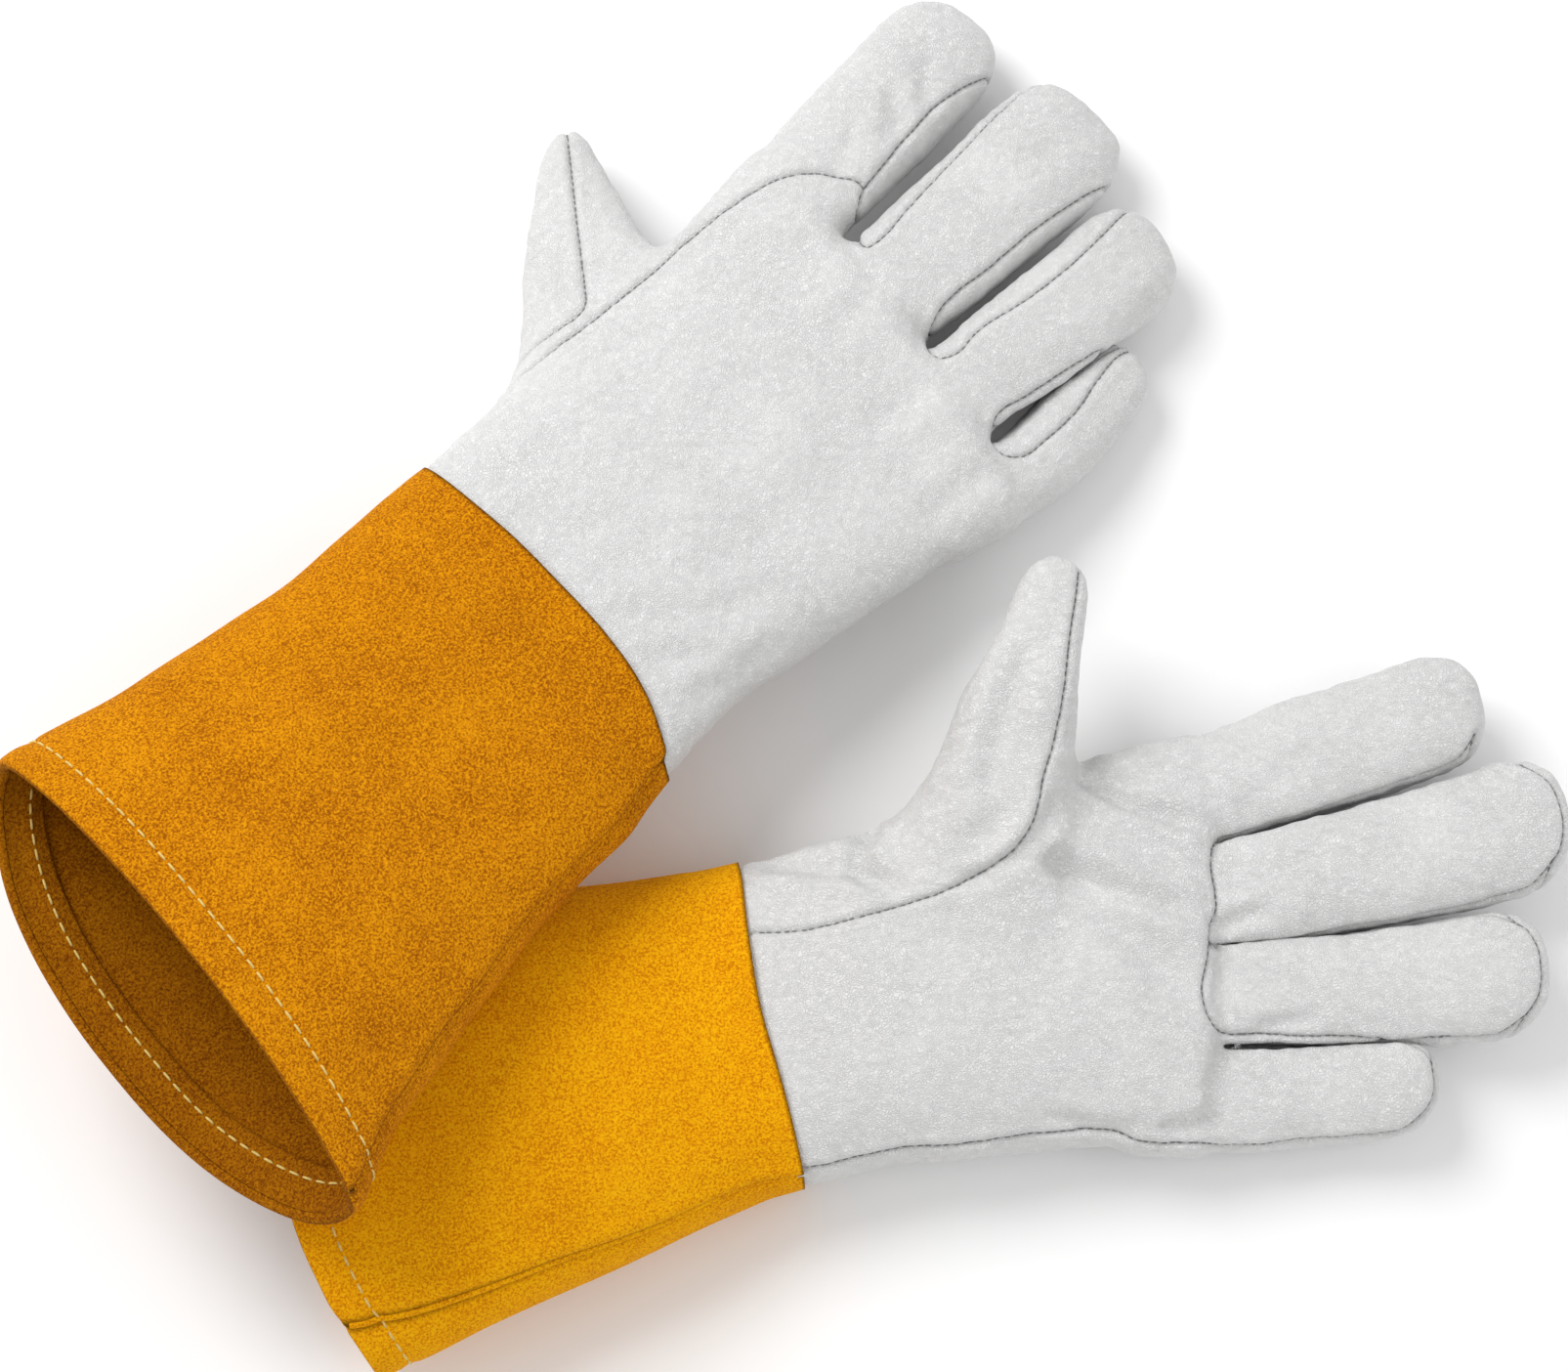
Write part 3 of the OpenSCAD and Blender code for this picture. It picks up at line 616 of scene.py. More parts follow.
# Folds of the leather: side it is on (1 back, -1 palm), line, width, depth
FOLDS = dict(
    right=[
        (1, [(12, -8), (24, -20), (40, -30), (60, -36)], 4.5, 0.6),
        (1, [(12, -26), (22, -33), (36, -38)], 3.5, 0.5),
        (1, [(14, -42), (26, -44), (48, -45)], 3.5, 0.5),
        (1, [(40, -16), (70, -20), (100, -22)], 9, 0.7),
        (1, [(66, 10), (92, 14), (120, 10)], 10, 0.5),
        (1, [(170, 47), (178, 52), (184, 60)], 3.5, 0.9),
        (1, [(184, 48), (192, 54), (198, 62)], 3.2, 0.7),
        (1, [(150, 47), (158, 52), (168, 55)], 3.5, 0.6),
        (1, [(142, 20), (128, 14), (112, 12)], 4.5, 0.7),
        (1, [(134, -14), (120, -16), (104, -14)], 4.5, 0.6),
        (1, [(128, -46), (112, -44), (96, -46)], 4, 0.6),
        (-1, [(88, 50), (112, 44), (138, 28)], 4, 1.2),
        (-1, [(80, 32), (104, 18), (130, 6)], 6, 1.0),
        (-1, [(20, 40), (40, 30), (60, 28)], 5, 0.8)],
    left=[
        (-1, [(90, 51), (97, 45), (108, 37), (119, 31), (129, 25.5)], 2.8, 2.2),
        (-1, [(93, 58), (98, 50), (106, 45), (116, 42)], 3.0, 1.3),
        (-1, [(76, 28), (88, 21), (100, 13), (112, 6), (122, 2)], 3.4, 2.1),
        (-1, [(80, 27), (90, 14), (100, 0), (108, -12), (114, -20)], 6.0, 2.1),
        (-1, [(2, 42), (13, 39), (22, 35.5), (31, 32), (41, 27)], 3.3, 1.7),
        (-1, [(39, 50), (34, 41), (30.5, 33), (34, 28), (43, 24)], 3.2, 1.6),
        (-1, [(52, 22), (66, 24), (76, 29), (84, 37), (88, 44)], 2.6, 1.0),
        (-1, [(66, 40), (72, 54), (80, 70), (90, 86)], 4.4, 1.9),
        (-1, [(58, 30), (70, 38), (78, 50), (84, 62)], 3.8, 0.9),
        (-1, [(96, -50), (104, -52), (114, -50)], 3.0, 1.2),
        (-1, [(120, 0), (130, 1), (142, 3)], 2.6, 1.0),
        (-1, [(124, -30), (134, -29), (146, -30)], 2.6, 0.9),
        (-1, [(150, 10), (158, 20), (172, 26)], 4.0, 0.6),
        (-1, [(70, 26), (84, -2), (92, -24), (98, -44)], 9, 0.7),
        (-1, [(66, -42), (78, -47), (92, -50)], 2.4, 0.9),
        (-1, [(134, 27), (146, 36), (160, 44)], 4, 0.6),
        (-1, [(126, 18), (136, 12), (150, 11)], 5, 0.5),
        (-1, [(118, -14), (130, -16), (148, -18)], 6, 0.5),
        (1, [(90, 40), (110, 30), (130, 26)], 5, 0.8),
        (1, [(20, -10), (40, -18), (60, -22)], 4, 1.0)])


# Waves of the goatskin: height, size, and how much closer they stand along the hand
WAVES = ((0.55, 46, 1), (0.28, 19, 1), (0.14, 9, 1.8))


def relief(glove, p, normal, d):
    """How far the leather stands off the plain shape, at distance d from its seams."""
    seed = 3 if glove.name == "right" else 11
    out = groove(d)
    for i, (height, size, closer) in enumerate(WAVES):
        out += height * ripple(p * (closer, 1, 1), seed + i, size)
    for side, line, width, depth in FOLDS[glove.name]:
        out += fold(p, line, width, depth * 1.5) * smoothstep(normal[:, 2] * glove.side * side, 0.1, 0.6)
    # the leather tucks in under the cuff
    tuck = np.maximum(p[:, 0] - glove.wrist_x(p[:, 1]), 0)
    return out - 1.0 * np.exp(-(tuck / 1.6) ** 2)


def crotch_reach(glove, k):
    """How far along a finger its neighbouring crotches reach, in millimetres."""
    d = glove.digits[k]
    reach = []
    i = FINGERS.index(k)
    for other in FINGERS[max(i - 1, 0):i] + FINGERS[i + 1:i + 2]:
        n = glove.digits[other]
        y = (d.root[1] + n.root[1]) / 2
        for _ in range(4):
            x = glove.crotch_x(y)
            y = sum((e.root + e.along * (x - e.root[0]) / e.along[0])[1] for e in (d, n)) / 2
        reach.append((np.array([x, y, d.root[2]]) - d.root) @ d.along)
    return max(reach)


class Hand:
    """One glove's hand, meshed as a palm with a thumb and four fingers that meet at cut planes,
    and parted into its leathers."""

    def __init__(self, glove):
        self.glove, self.panels = glove, Panels(glove)
        self.cut = {k: crotch_reach(glove, k) + CUT_PAST for k in FINGERS}
        zones = {k: self.mesh(k) for k in ("hand",) + FINGERS}
        samples = []
        for zone, (points, faces, label) in zones.items():
            e = seam_edges(faces, label)
            a, b = points[e[:, 0]], points[e[:, 1]]
            keep = self.in_zone(zone, (a + b) / 2, 0.4)
            a, b = a[keep], b[keep]
            samples += [a + (b - a) * i / 5 for i in range(5)]
        tree = tree_of(np.concatenate(samples))
        self.zones = {k: self.shape(k, tree, *zone) for k, zone in zones.items()}

    def past(self, k, p):
        """Distance past the cut plane of a finger."""
        d = self.glove.digits[k]
        return (p - d.root) @ d.along - self.cut[k]

    def in_zone(self, zone, p, slack=0.0):
        if zone != "hand":
            return self.past(zone, p) > -slack
        d = np.array([self.glove.digits[k].distance(p) for k in FINGERS])
        over = np.array([self.past(k, p) for k in FINGERS])
        return np.take_along_axis(over, d.argmin(0)[None], 0)[0] < slack

    def mesh(self, zone):
        """Mesh of the zone with a margin, cut along the seams: points, faces, leathers."""
        g, panels = self.glove, self.panels
        if zone == "hand":
            low, high = (-14, -80, -4), (g.crotch[0] + 50, 128, 70)
        else:
            d = g.digits[zone]
            ends = np.array([d.root + d.along * (self.cut[zone] - 10), d.tip])
            low, high = ends.min(0) - (2, 26, 20), ends.max(0) + (6, 26, 20)
            low[2] = -4
        distance = self.distance_of(zone)
        points, quads = surface_net(distance, low, high, GRID)
        points = settle(distance, points)
        faces = triangles(points, quads)
        if zone != "hand":
            faces = faces[self.past(zone, points[faces].mean(1)) > -8]
            points, faces = compact(points, faces)
        m = panels.measure(points)
        label = np.zeros(len(faces), int)
        for name in panels.masks(m):
            points, faces, label = slice_mesh(points, faces, label, m[name], panels.masks(m)[name])
            new = panels.measure(points[len(m[name]):])
            m = {k: np.concatenate([m[k], new[k]], -1) for k in m}
        label = settle_labels(faces, panels.leather(panels.measure(points[faces].mean(1))))
        return points, faces, label

    def shape(self, zone, tree, points, faces, label):
        """Points pushed into their seams, folds and wrinkles, and cut at the zone's planes."""
        g = self.glove
        d = nearest(tree, points)
        for level in (0.45, 1.0, 1.9, 3.0):
            points, faces, label = slice_mesh(points, faces, label, d - level, d < level + 3)
            d = np.concatenate([d, nearest(tree, points[len(d):])])
        if zone == "hand":
            thumb = g.digits["thumb"]
            cuts = [lambda p: p[:, 0] - g.wrist_x(p[:, 1]) + TUCK, lambda p: p[:, 0] - g.wrist[1],
                    lambda p: thumb.frame(p)[0] - THUMB_CUT + (thumb.distance(p) > 8) * 9]
            for k in FINGERS:
                cuts.append(lambda p, k=k: self.past(k, p) + (g.digits[k].distance(p) > 6) * -99)
        else:
            cuts = [lambda p: self.past(zone, p)]
        for cut in cuts:
            f = cut(points)
            points, faces, label = slice_mesh(points, faces, label, f, np.abs(f) < 5, 0.02)
            d = np.concatenate([d, nearest(tree, points[len(d):])])
        rest = points
        normal = unit(gradient(self.distance_of(zone), points))
        points = points + normal * relief(g, points, normal, d)[:, None]
        points[:, 2] = np.maximum(points[:, 2], 0.1)
        return dict(points=points, faces=faces, label=label, rest=rest, seam=d,
                    normal=vertex_normals(points, faces))

    def distance_of(self, zone):
        fingers = FINGERS if zone == "hand" else (zone,)
        return lambda p: self.glove.field(p, fingers, zone == "hand")


def chains(edges):
    """Paths of points that the edges join up to, ending where more than two meet."""
    near = {}
    for a, b in edges.tolist():
        near.setdefault(a, []).append(b)
        near.setdefault(b, []).append(a)
    many = {v for v, n in near.items() if len(n) != 2}
    out = []
    for start in sorted(many) + sorted(near):
        while near[start]:
            path = [start]
            while near[path[-1]]:
                after = near[path[-1]].pop()
                near[after].remove(path[-1])
                path.append(after)
                if after in many:
                    break
            out.append(path)
    return out


def piece(name, glove, parts, thickness, material):
    """Object of leather with a thickness, from (points, faces, normals, rest, seam) parts."""
    verts, faces, normals, rest, seams = [], [], [], [], []
    start = 0
    for points, f, normal, r, seam in parts:
        used, f = np.unique(f, return_inverse=True)
        f = f.reshape(-1, 3)
        p, normal, r, seam = points[used], normal[used], r[used], seam[used]
        n = len(used)
        inner = p - normal * thickness
        inner[:, 2] = np.maximum(inner[:, 2], 0.2)
        edge = sides(f)
        key = np.sort(edge, 1) @ (n, 1)
        _, back, count = np.unique(key, return_inverse=True, return_counts=True)
        a, b = edge[count[back] == 1].T
        rim = np.concatenate([np.stack([b, a, a + n], 1), np.stack([b, a + n, b + n], 1)])
        faces.append(np.concatenate([f, f[:, ::-1] + n, rim]) + start)
        verts += [p, inner]
        normals += [normal, -normal]
        rest += [r, r]
        seams += [seam, seam]
        start += 2 * n
    return mesh_object(name, glove.world(np.concatenate(verts)), np.concatenate(faces),
                       glove.turn(np.concatenate(normals)), np.concatenate(rest),
                       np.concatenate(seams), material)


def mesh_object(name, verts, faces, normals, rest, seam, material):
    """Smooth object; the rest place and the distance to the seams are kept for its material."""
    mesh = bpy.data.meshes.new(name)
    mesh.from_pydata(verts.tolist(), [], faces.tolist())
    mesh.polygons.foreach_set("use_smooth", [True] * len(mesh.polygons))
    where = mesh.attributes.new("rest", "FLOAT_VECTOR", "POINT")
    where.data.foreach_set("vector", (rest * MM).astype(np.float32).ravel())
    near = mesh.attributes.new("seam", "FLOAT", "POINT")
    near.data.foreach_set("value", np.asarray(seam, np.float32))
    if normals is not None:
        mesh.normals_split_custom_set_from_vertices(normals.tolist())
    mesh.materials.append(material)
    mesh.update()
    obj = bpy.data.objects.new(name, mesh)
    bpy.context.scene.collection.objects.link(obj)
    return obj


def hand_parts(hand):
    """Faces of the hand by (piece name, moving part)."""
    out = {}
    for zone, z in hand.zones.items():
        rest, faces, label = z["rest"], z["faces"], z["label"]
        at = rest[faces].mean(1)
        keep = hand.in_zone(zone, at) & (at[:, 0] > hand.glove.wrist_x(at[:, 1]) - TUCK)
        m = hand.panels.measure(at)
        finger = m["finger"]
        part = np.full(len(faces), "", object)
        if zone == "hand":
            part[:] = "palm_panel"
            part[label == BACK] = "back_panel"
            part[(label == PALM) & (m["thumb"] < m["hand"])] = "thumb_base_inner"
            part[label == MOUND] = "thumb_base_outer"
            part[label == MIDDLE_FRONT] = "middle_front"
            part[label == RING_FRONT] = "ring_front"
            for i, k in enumerate(FINGERS):
                part[(label >= GAP) & (finger == i)] = WALLS[k]
            on_thumb = (m["thumb_s"] > THUMB_CUT) & (m["thumb"] < 8)
            part[on_thumb] = np.where(label[on_thumb] == MOUND, "thumb_outer", "thumb_inner")
            wrist = at[:, 0] < hand.glove.wrist[1]
            part[wrist] = np.where(label[wrist] == BACK, "wrist_back", "wrist_palm")
        else:
            front, back = ("_wrap", "_root_back") if zone == "index" else ("_front", "_back")
            part[:] = np.where(label >= GAP, WALLS[zone],
                               np.where(label == BACK, zone + back, zone + front))
        for name in sorted(set(part[keep])):
            f = faces[keep & (part == name)]
            out.setdefault(name, []).append((z["points"], f, z["normal"], rest, z["seam"]))
    return out


def digit_of(name):
    """The moving finger or thumb that a piece belongs to, or None."""
    first = name.split("_")[0]
    return first if first in FINGERS or name in ("thumb_outer", "thumb_inner") else None


def attach(obj, glove, name):
    """A hand piece rides the hand; a finger, thumb or wrist piece only has its place baked into its mesh.
    """
    side = glove.name + "_"
    k = digit_of(name)
    if k:
        d = glove.digits[k]
        start, end = (glove.world(d.root + d.along * x) for x in glove.blends[k])
        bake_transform(obj)
    elif name.startswith("wrist"):
        height = glove.section(np.array(glove.wrist))[2].mean()
        start, end = (glove.world((x, 0, height)) for x in glove.wrist)
        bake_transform(obj)
    else:
        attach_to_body(obj, side + "hand")


def seam_threads(hand):
    """Short stitches along the seams, one object for each moving part."""
    g = hand.glove
    thumb = g.digits["thumb"]
    groups = {}
    for zone, z in hand.zones.items():
        points, rest = z["points"], z["rest"]
        for path in chains(seam_edges(z["faces"], z["label"])):
            if len(path) < 4:
                continue
            p = points[path]
            for _ in range(2):
                p[1:-1] = (p[:-2] + p[1:-1] * 2 + p[2:]) / 4
            pick = even(p, SEAM_PITCH, 0.8)
            along = unit(np.gradient(p, axis=0)[pick])
            at, up = p[pick], z["normal"][path][pick]
            where = rest[path][pick]
            keep = hand.in_zone(zone, where) & (where[:, 0] > g.wrist_x(where[:, 1]) + 1)
            keep &= at[:, 2] > 0.5
            part = np.full(len(at), zone, object)
            if zone == "hand":
                part[where[:, 0] < g.wrist[1]] = "wrist"
                moving = (thumb.frame(where)[0] > THUMB_CUT) & (thumb.distance(where) < 8)
                part[moving] = "thumb"
            for k in sorted(set(part[keep])):
                use = keep & (part == k)
                groups.setdefault(k, []).append((at[use] + up[use] * 0.1, along[use], up[use]))
    for k, rows in groups.items():
        at, along, up = (np.concatenate(column) for column in zip(*rows))
        points, faces = stitch_mesh(at, along, up, *SEAM_STITCH)
        name = f"{g.name}_{k}_seam_thread"
        obj = mesh_object(name, g.world(points), faces, None, points, np.full(len(points), BEAD),
                          GREY_THREAD)
        attach(obj, g, {"thumb": "thumb_outer"}.get(k, k))


def build_hand(glove):
    hand = Hand(glove)
    glove.blends = {k: (hand.cut[k], hand.cut[k] + FINGER_BEND) for k in FINGERS}
    length = glove.digits["thumb"].length
    glove.blends["thumb"] = (THUMB_CUT * length, (THUMB_CUT + THUMB_BEND) * length)
    for name, parts in hand_parts(hand).items():
        full = f"{glove.name}_{name}"
        obj = piece(full + "_leather", glove, parts, SKIN, GOATSKIN)
        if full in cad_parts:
            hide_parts(full)
        attach(obj, glove, name)
    seam_threads(hand)


# Rows of x, thumb side edge, little finger side edge, mid height, half depth of each cuff.
# mouth: x of the mouth's middle, how far it leans to the thumb side, how far its top stands back
# and its bottom reaches out, and how far its little finger corner is cut back.
# seam: how far up from the little finger edge the side seam runs, in radians, at mouth and wrist.
CUFFS = dict(
    right=dict(mouth=(-139, 3, 8.5, 26.5, 0), squareness=(2.35, 2.4), seam=(0.3, 0.34), rows=[
        (-152, 61, -96, 89, 25), (-140, 60, -94, 86, 25), (-118, 56.5, -83.5, 80, 25),
        (-100, 53.5, -77, 76, 24), (-80, 53, -71, 71, 23), (-60, 53, -66, 65.5, 21.5),
        (-40, 53.5, -62, 60, 20), (-20, 55, -58.5, 54, 18), (0, 56, -53, 48.5, 16.5),
        (10, 56, -50.5, 46, 17), (22, 58, -48.5, 42.5, 18)]),
    left=dict(mouth=(-135.5, 0, 0, 0, 14), squareness=(2.2, 2.5), seam=(0.62, 0.3), rows=[
        (-140, 60, -76.5, 26.5, 27.2), (-118, 55, -74, 26.5, 27.2), (-100, 51, -69, 26, 26.7),
        (-80, 47.5, -64, 25.5, 26.2), (-60, 45, -59.5, 24.5, 25.2), (-40, 43.5, -55, 23, 23.7),
        (-20, 43, -51, 21.5, 22.2), (0, 43, -46.5, 20, 20.7), (10, 43.5, -46, 20, 20.7)]))
SUEDE_SKIN = 1.6
HEM, STITCH_LINE = 13.0, 9.5                        # from the mouth to the hem's edge and its stitches
FOLD = 1.7                                          # radius of the fold at the mouth
LOWEST = 0.12                                       # height that the suede stays above the ground


class Cuff:
    """A tapering tube of suede with a turned hem; tau is 0 at the mouth and 1 at the wrist."""

    def __init__(self, glove):
        self.glove = glove
        c = CUFFS[glove.name]
        self.mouth, self.squareness = c["mouth"], c["squareness"]
        self.rows = np.array(c["rows"], float).T
        self.seam = c["seam"]

    def seam_turn(self, tau):
        """Where the side seam runs round the cuff."""
        return math.pi - self.seam[0] - (self.seam[1] - self.seam[0]) * tau

    def from_seam(self, tau, turn):
        """About how many millimetres past the side seam a turn lies."""
        return ((turn - self.seam_turn(tau) + math.pi) % (2 * math.pi) - math.pi) * 24

    def plain(self, tau, turn):
        """Points of the undented outer face."""
        n = self.squareness[0] + (self.squareness[1] - self.squareness[0]) * smoothstep(tau, 0, 0.5)
        c, s = np.cos(turn), np.sin(turn)
        c = np.sign(c) * np.abs(c) ** (2 / n)
        s = np.sign(s) * np.abs(s) ** (2 / n)
        end = self.glove.wrist_x(c * 50 - 2)
        mid, slope, top, bottom, corner = self.mouth
        mouth = mid + slope * c + np.where(s > 0, top, bottom) * s * (0.4 + 0.6 * np.abs(s))
        mouth += corner * (np.clip(-c - 0.2, 0, None) / 0.8) ** 2
        along = tau * (1 + ((mid - end) / (mouth - end) - 1) * (1 - tau))
        x = mid + (end - mid) * along
        thumb_side, little_side, height, t = (curve(x, self.rows[0], r) for r in self.rows[1:])
        y = (thumb_side + little_side) / 2 + c * (thumb_side - little_side) / 2
        return np.stack([mouth + (end - mouth) * along, y, height + s * t], -1)

    def face(self, tau, turn, depth=0.0):
        """Points at a depth below the dented outer face, and the face's outward normal."""
        tau, turn = np.broadcast_arrays(np.asarray(tau, float), np.asarray(turn, float))
        e = 1e-3
        p = self.dented(tau, turn)
        along = self.dented(tau + e, turn) - self.dented(tau - e, turn)
        around = self.dented(tau, turn + 5 * e) - self.dented(tau, turn - 5 * e)
        n = unit(np.cross(around, along))
        return p - n * np.asarray(depth)[..., None], n

    def dented(self, tau, turn):
        """Points of the outer face with its waves and what the seams pull in."""
        p = self.plain(tau, turn)
        away = np.stack([0 * tau, np.cos(turn), np.sin(turn)], -1)
        seed = 5 if self.glove.name == "right" else 17
        flat = (p - (0, self.rows[1].mean(), self.rows[3].mean())).reshape(-1, 3)
        bumps = (1.1 * ripple(flat, seed, 90) + 0.5 * ripple(flat, seed + 1, 38)).reshape(tau.shape)
        lift = 0.9 * smoothstep(tau, 0.9, 1.0) + bumps * smoothstep(tau, 1.0, 0.86)
        # the row of stitches pulls the hem in
        from_mouth = tau * abs(self.mouth[0]) - STITCH_LINE
        lift -= 0.55 * np.exp(-(from_mouth / 1.6) ** 2)
        lift += 0.35 * np.exp(-((from_mouth + 5) / 3.0) ** 2)
        # the side seam pulls the panels in
        side = self.from_seam(tau, turn)
        lift -= 0.9 * np.exp(-(side / 1.5) ** 2) - 0.7 * np.exp(-((side + 3.4) / 2.0) ** 2)
        lift -= 1.0 * smoothstep(side, 0, 1.2) * np.exp(-(np.maximum(side, 0) / 7) ** 2)
        p = p + away * lift[..., None]
        p[..., 2] = np.maximum(p[..., 2], LOWEST)
        return p


def grid_faces(rows, columns, closed=False):
    """Triangles between the points of a grid, whose last column may join its first."""
    i, j = np.meshgrid(np.arange(rows - 1), np.arange(columns if closed else columns - 1), indexing="ij")
    a, b = (i * columns + j).ravel(), (i * columns + (j + 1) % columns).ravel()
    return np.concatenate([np.stack([a, b, b + columns], 1), np.stack([a, b + columns, a + columns], 1)])


def loop_lid(p):
    """Triangles that fill a thin closed loop, whose last point repeats the first."""
    i, j, out = 0, len(p) - 2, []
    while j - i > 1:
        if np.linalg.norm(p[i + 1] - p[j]) < np.linalg.norm(p[i] - p[j - 1]):
            out.append((i, i + 1, j))
            i += 1
        else:
            out.append((i, j - 1, j))
            j -= 1
    return out


def cuff_piece(cuff, name, profile, start, end, columns):
    """Closed wall: profile is a loop of (tau, depth), swept from start to end, which are
    turns, or "seam" for the side seam."""
    tau, depth = (column[:, None] for column in np.array(profile, float).T)
    start, end = (cuff.seam_turn(np.clip(tau, 0, 1)) if e == "seam" else float(e) for e in (start, end))
    share = np.linspace(0, 1, columns)
    tau, turn, depth = np.broadcast_arrays(tau, start * (1 - share) + end * share, depth)
    p, _ = cuff.face(np.clip(tau, 0, 1), turn, depth)
    # past the mouth the fold goes on straight
    mouth, _ = cuff.face(0 * tau, turn, depth)
    inner, _ = cuff.face(0 * tau + 0.02, turn, depth)
    p = p + (mouth - inner) * (np.clip(-tau, 0, None)[..., None] / 0.02)
    p[..., 2] = np.maximum(p[..., 2], LOWEST)
    last = columns - 1
    lids = [[(a * columns, b * columns, c * columns),
             (b * columns + last, a * columns + last, c * columns + last)] for a, b, c in loop_lid(p[:, 0])]
    faces = np.concatenate([grid_faces(len(p), columns), np.array(lids).reshape(-1, 3)])
    points = p.reshape(-1, 3)
    # 1 on the inside, where the suede paints shade, and down to -1 on the outside close to the side seam
    # and the wrist, where it paints a shadow line
    close = np.exp(-(cuff.from_seam(tau, turn) / 1.3) ** 2) + np.exp(-((1 - tau) * 140 / 0.8) ** 2)
    inside = np.where(depth > 1.0, 1.0, -np.minimum(close, 1)).reshape(-1)
    g = cuff.glove
    return mesh_object(name, g.world(points), faces, None, points, inside, SUEDE[g.name])


def build_cuff(glove):
    cuff = Cuff(glove)
    side = glove.name + "_"
    length = abs(cuff.mouth[0])
    fine = 1.3
    columns = int(150 / fine)
    pieces = {}
    # the panels: outer face, fold round the mouth, inner face and cut edge at the wrist
    taus = np.linspace(0.0, 1.0, int(length / fine))
    outer = [(t, 0.0) for t in taus[::-1] if t > 2.0 / length]
    fold = [(FOLD / length - FOLD / length * math.sin(a), FOLD * (1 - math.cos(a)))
            for a in np.linspace(0, math.pi, 9)]
    back = [(2.0 / length, 2 * FOLD), (2.0 / length, 2 * FOLD - SUEDE_SKIN)]
    inner = [(t, SUEDE_SKIN) for t in taus[1::3] if 3 / length < t < 0.985]
    rim = [(1.0, SUEDE_SKIN * 0.8), (1.003, SUEDE_SKIN * 0.5), (1.002, SUEDE_SKIN * 0.15)]
    profile = outer + fold + back + inner + rim + outer[:1]
    upper, lower = ("back", "palm") if glove.side > 0 else ("palm", "back")
    for half, start, end in ((upper, 0, "seam"), (lower, "seam", 2 * math.pi)):
        pieces[f"cuff_{half}_panel"] = cuff_piece(cuff, f"{side}cuff_{half}_suede", profile,
                                                  start, end, columns)
    # the turned hem
    at = np.linspace(2.1, HEM, 14) / length
    edge = [((HEM + 0.4) / length, 2.9), ((HEM + 0.2) / length, 2.0)]
    loop = [(t, 2 * FOLD) for t in at] + edge + [(t, 1.75) for t in at[::-3]] + [(at[0], 2 * FOLD)]
    pieces["cuff_hem"] = cuff_piece(cuff, side + "cuff_hem_suede", loop, 0, 2 * math.pi, 2 * columns)
    # the welt along the side seam
    tau = np.linspace(0.012, 0.985, 160)
    path, up = cuff.face(tau, cuff.seam_turn(tau), 0.3)
    pieces["cuff_side_welt"] = tube(side + "cuff_side_welt_suede", glove, path, up, 1.0, 0.8,
                                    SUEDE[glove.name])
    pieces["hem_stitching"] = hem_stitches(cuff, side + "hem_thread", length)
    for node, obj in pieces.items():
        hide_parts(side + node)
        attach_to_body(obj, side + "cuff")


def tube(name, glove, path, up, wide, high, material, corners=10):
    """Oval bead along a path; up is the direction it stands in at each point."""
    across = unit(np.cross(unit(np.gradient(path, axis=0)), up))
    a = np.arange(corners) * 2 * math.pi / corners
    ring = (path[:, None] + across[:, None] * (np.cos(a) * wide)[None, :, None]
            + up[:, None] * (np.sin(a) * high)[None, :, None])
    points = np.concatenate([ring.reshape(-1, 3), path[[0, -1]]])
    k, last = np.arange(corners), (len(path) - 1) * corners
    after, tip = (k + 1) % corners, np.full(corners, last + corners)
    faces = [grid_faces(len(path), corners, True), np.stack([after, k, tip], 1),
             np.stack([last + k, last + after, tip + 1], 1)]
    return mesh_object(name, glove.world(points), np.concatenate(faces), None, points,
                       np.full(len(points), BEAD), material)


def stitch_mesh(centres, along, up, length, wide, high):
    """Points and faces of short rounded stitches at the centres."""
    across = unit(np.cross(along, up))
    # each ring's place along the stitch, thickness and height
    stations = [(-0.5, 0.25, -0.5), (-0.42, 0.8, 0.1), (-0.2, 1, 0.42), (0.2, 1, 0.42),
                (0.42, 0.8, 0.1), (0.5, 0.25, -0.5)]
    a = np.arange(6) * math.pi / 3
    rings = [centres[:, None] + along[:, None] * (s * length)
             + across[:, None] * (np.cos(a) * wide * r / 2)[None, :, None]
             + up[:, None] * (np.sin(a) * high * r / 2 + h * high * 0.6)[None, :, None]
             for s, r, h in stations]
    points = np.stack(rings, 1).reshape(-1, 3)
    last, size = 6 * len(stations) - 6, 6 * len(stations)
    lids = [lid for j in range(1, 5) for lid in ((0, j + 1, j), (last, last + j, last + j + 1))]
    faces = np.concatenate([grid_faces(len(stations), 6, True), lids])
    return points, (faces + np.arange(len(centres))[:, None, None] * size).reshape(-1, 3)


def even(path, step, offset=0.0):
    """Indices of points about one step apart along a path."""
    run = np.concatenate([[0], np.cumsum(np.linalg.norm(np.diff(path, axis=0), axis=1))])
    return np.searchsorted(run, np.arange(offset, run[-1], step)).clip(0, len(path) - 1)


